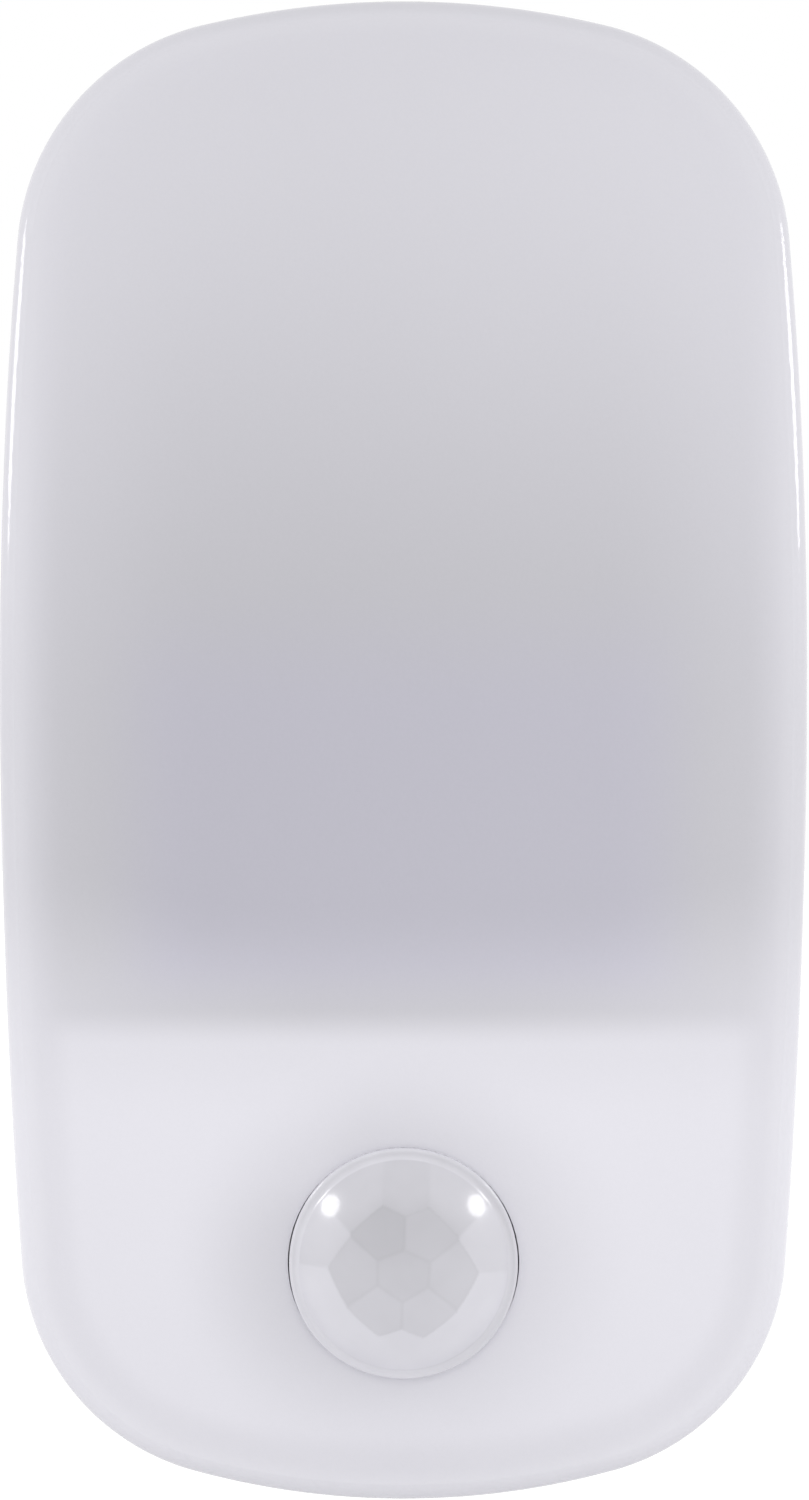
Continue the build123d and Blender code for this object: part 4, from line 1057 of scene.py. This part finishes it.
def build_floor():
    """Pale paper that looks white to the camera."""
    bm = bmesh.new()
    bmesh.ops.create_grid(bm, x_segments=8, y_segments=8, size=floor_reach)
    bmesh.ops.translate(bm, verts=bm.verts, vec=place(0, 0, -floor_gap))
    mesh = bpy.data.meshes.new("floor")
    bm.to_mesh(mesh)
    bm.free()
    floor = bpy.data.objects.new("floor", mesh)
    bpy.context.scene.collection.objects.link(floor)
    material, tree, shader, coordinates = new_material("floor_paper")
    set_shader(shader, base_color=floor_tone, roughness=0.9, specular_ior_level=0.0)
    set_shader(shader, emission_color=(1.0, 1.0, 1.0, 1.0))
    sockets = {0: coordinates, 1: place(0, body_middle_out, -floor_gap)}
    away = add_node(tree, "ShaderNodeVectorMath", sockets, operation="DISTANCE").outputs["Value"]
    lift = plus(tree, soft_step(tree, away, *near_lift), soft_step(tree, away, *far_lift))
    tree.links.new(times(tree, background_rays(tree), lift), shader.inputs["Emission Strength"])
    mesh.materials.append(material)


build_floor()
print("floor lies", floor_gap, "mm below the body")

# %% [markdown]
# Two small softboxes stand close by, left and right of the upper half and nearly level with its face. Seen
# from the front they graze the face, so they don't flatten it, but they draw a bright line down each rounded
# edge and a spot on each shoulder of the dome. A lamp's power is worked out from how bright its cloth should
# look: radiance times width times height times pi. No camera sees the lamps themselves.

# %% Softboxes
softbox_across = 138.0
softbox_out = 56.0
softbox_height = 102.0
softbox_size = (60.0, 48.0)
softbox_radiance = 5.0


def softbox(name, across):
    """Area lamp beside the body, turned to face it."""
    lamp = bpy.data.lights.new(name, "AREA")
    lamp.shape = "ELLIPSE"
    lamp.size, lamp.size_y = (length * MM for length in softbox_size)
    lamp.energy = softbox_radiance * lamp.size * lamp.size_y * pi
    stand = bpy.data.objects.new(name, lamp)
    stand.location = place(across, softbox_out, softbox_height)
    stand.rotation_euler = Vector((across, 0, 0)).to_track_quat("Z", "Y").to_euler()
    stand.visible_camera = False
    bpy.context.scene.collection.objects.link(stand)
    print(name, "power", round(lamp.energy, 4), "W")


softbox("softbox_left", -softbox_across)
softbox("softbox_right", softbox_across)
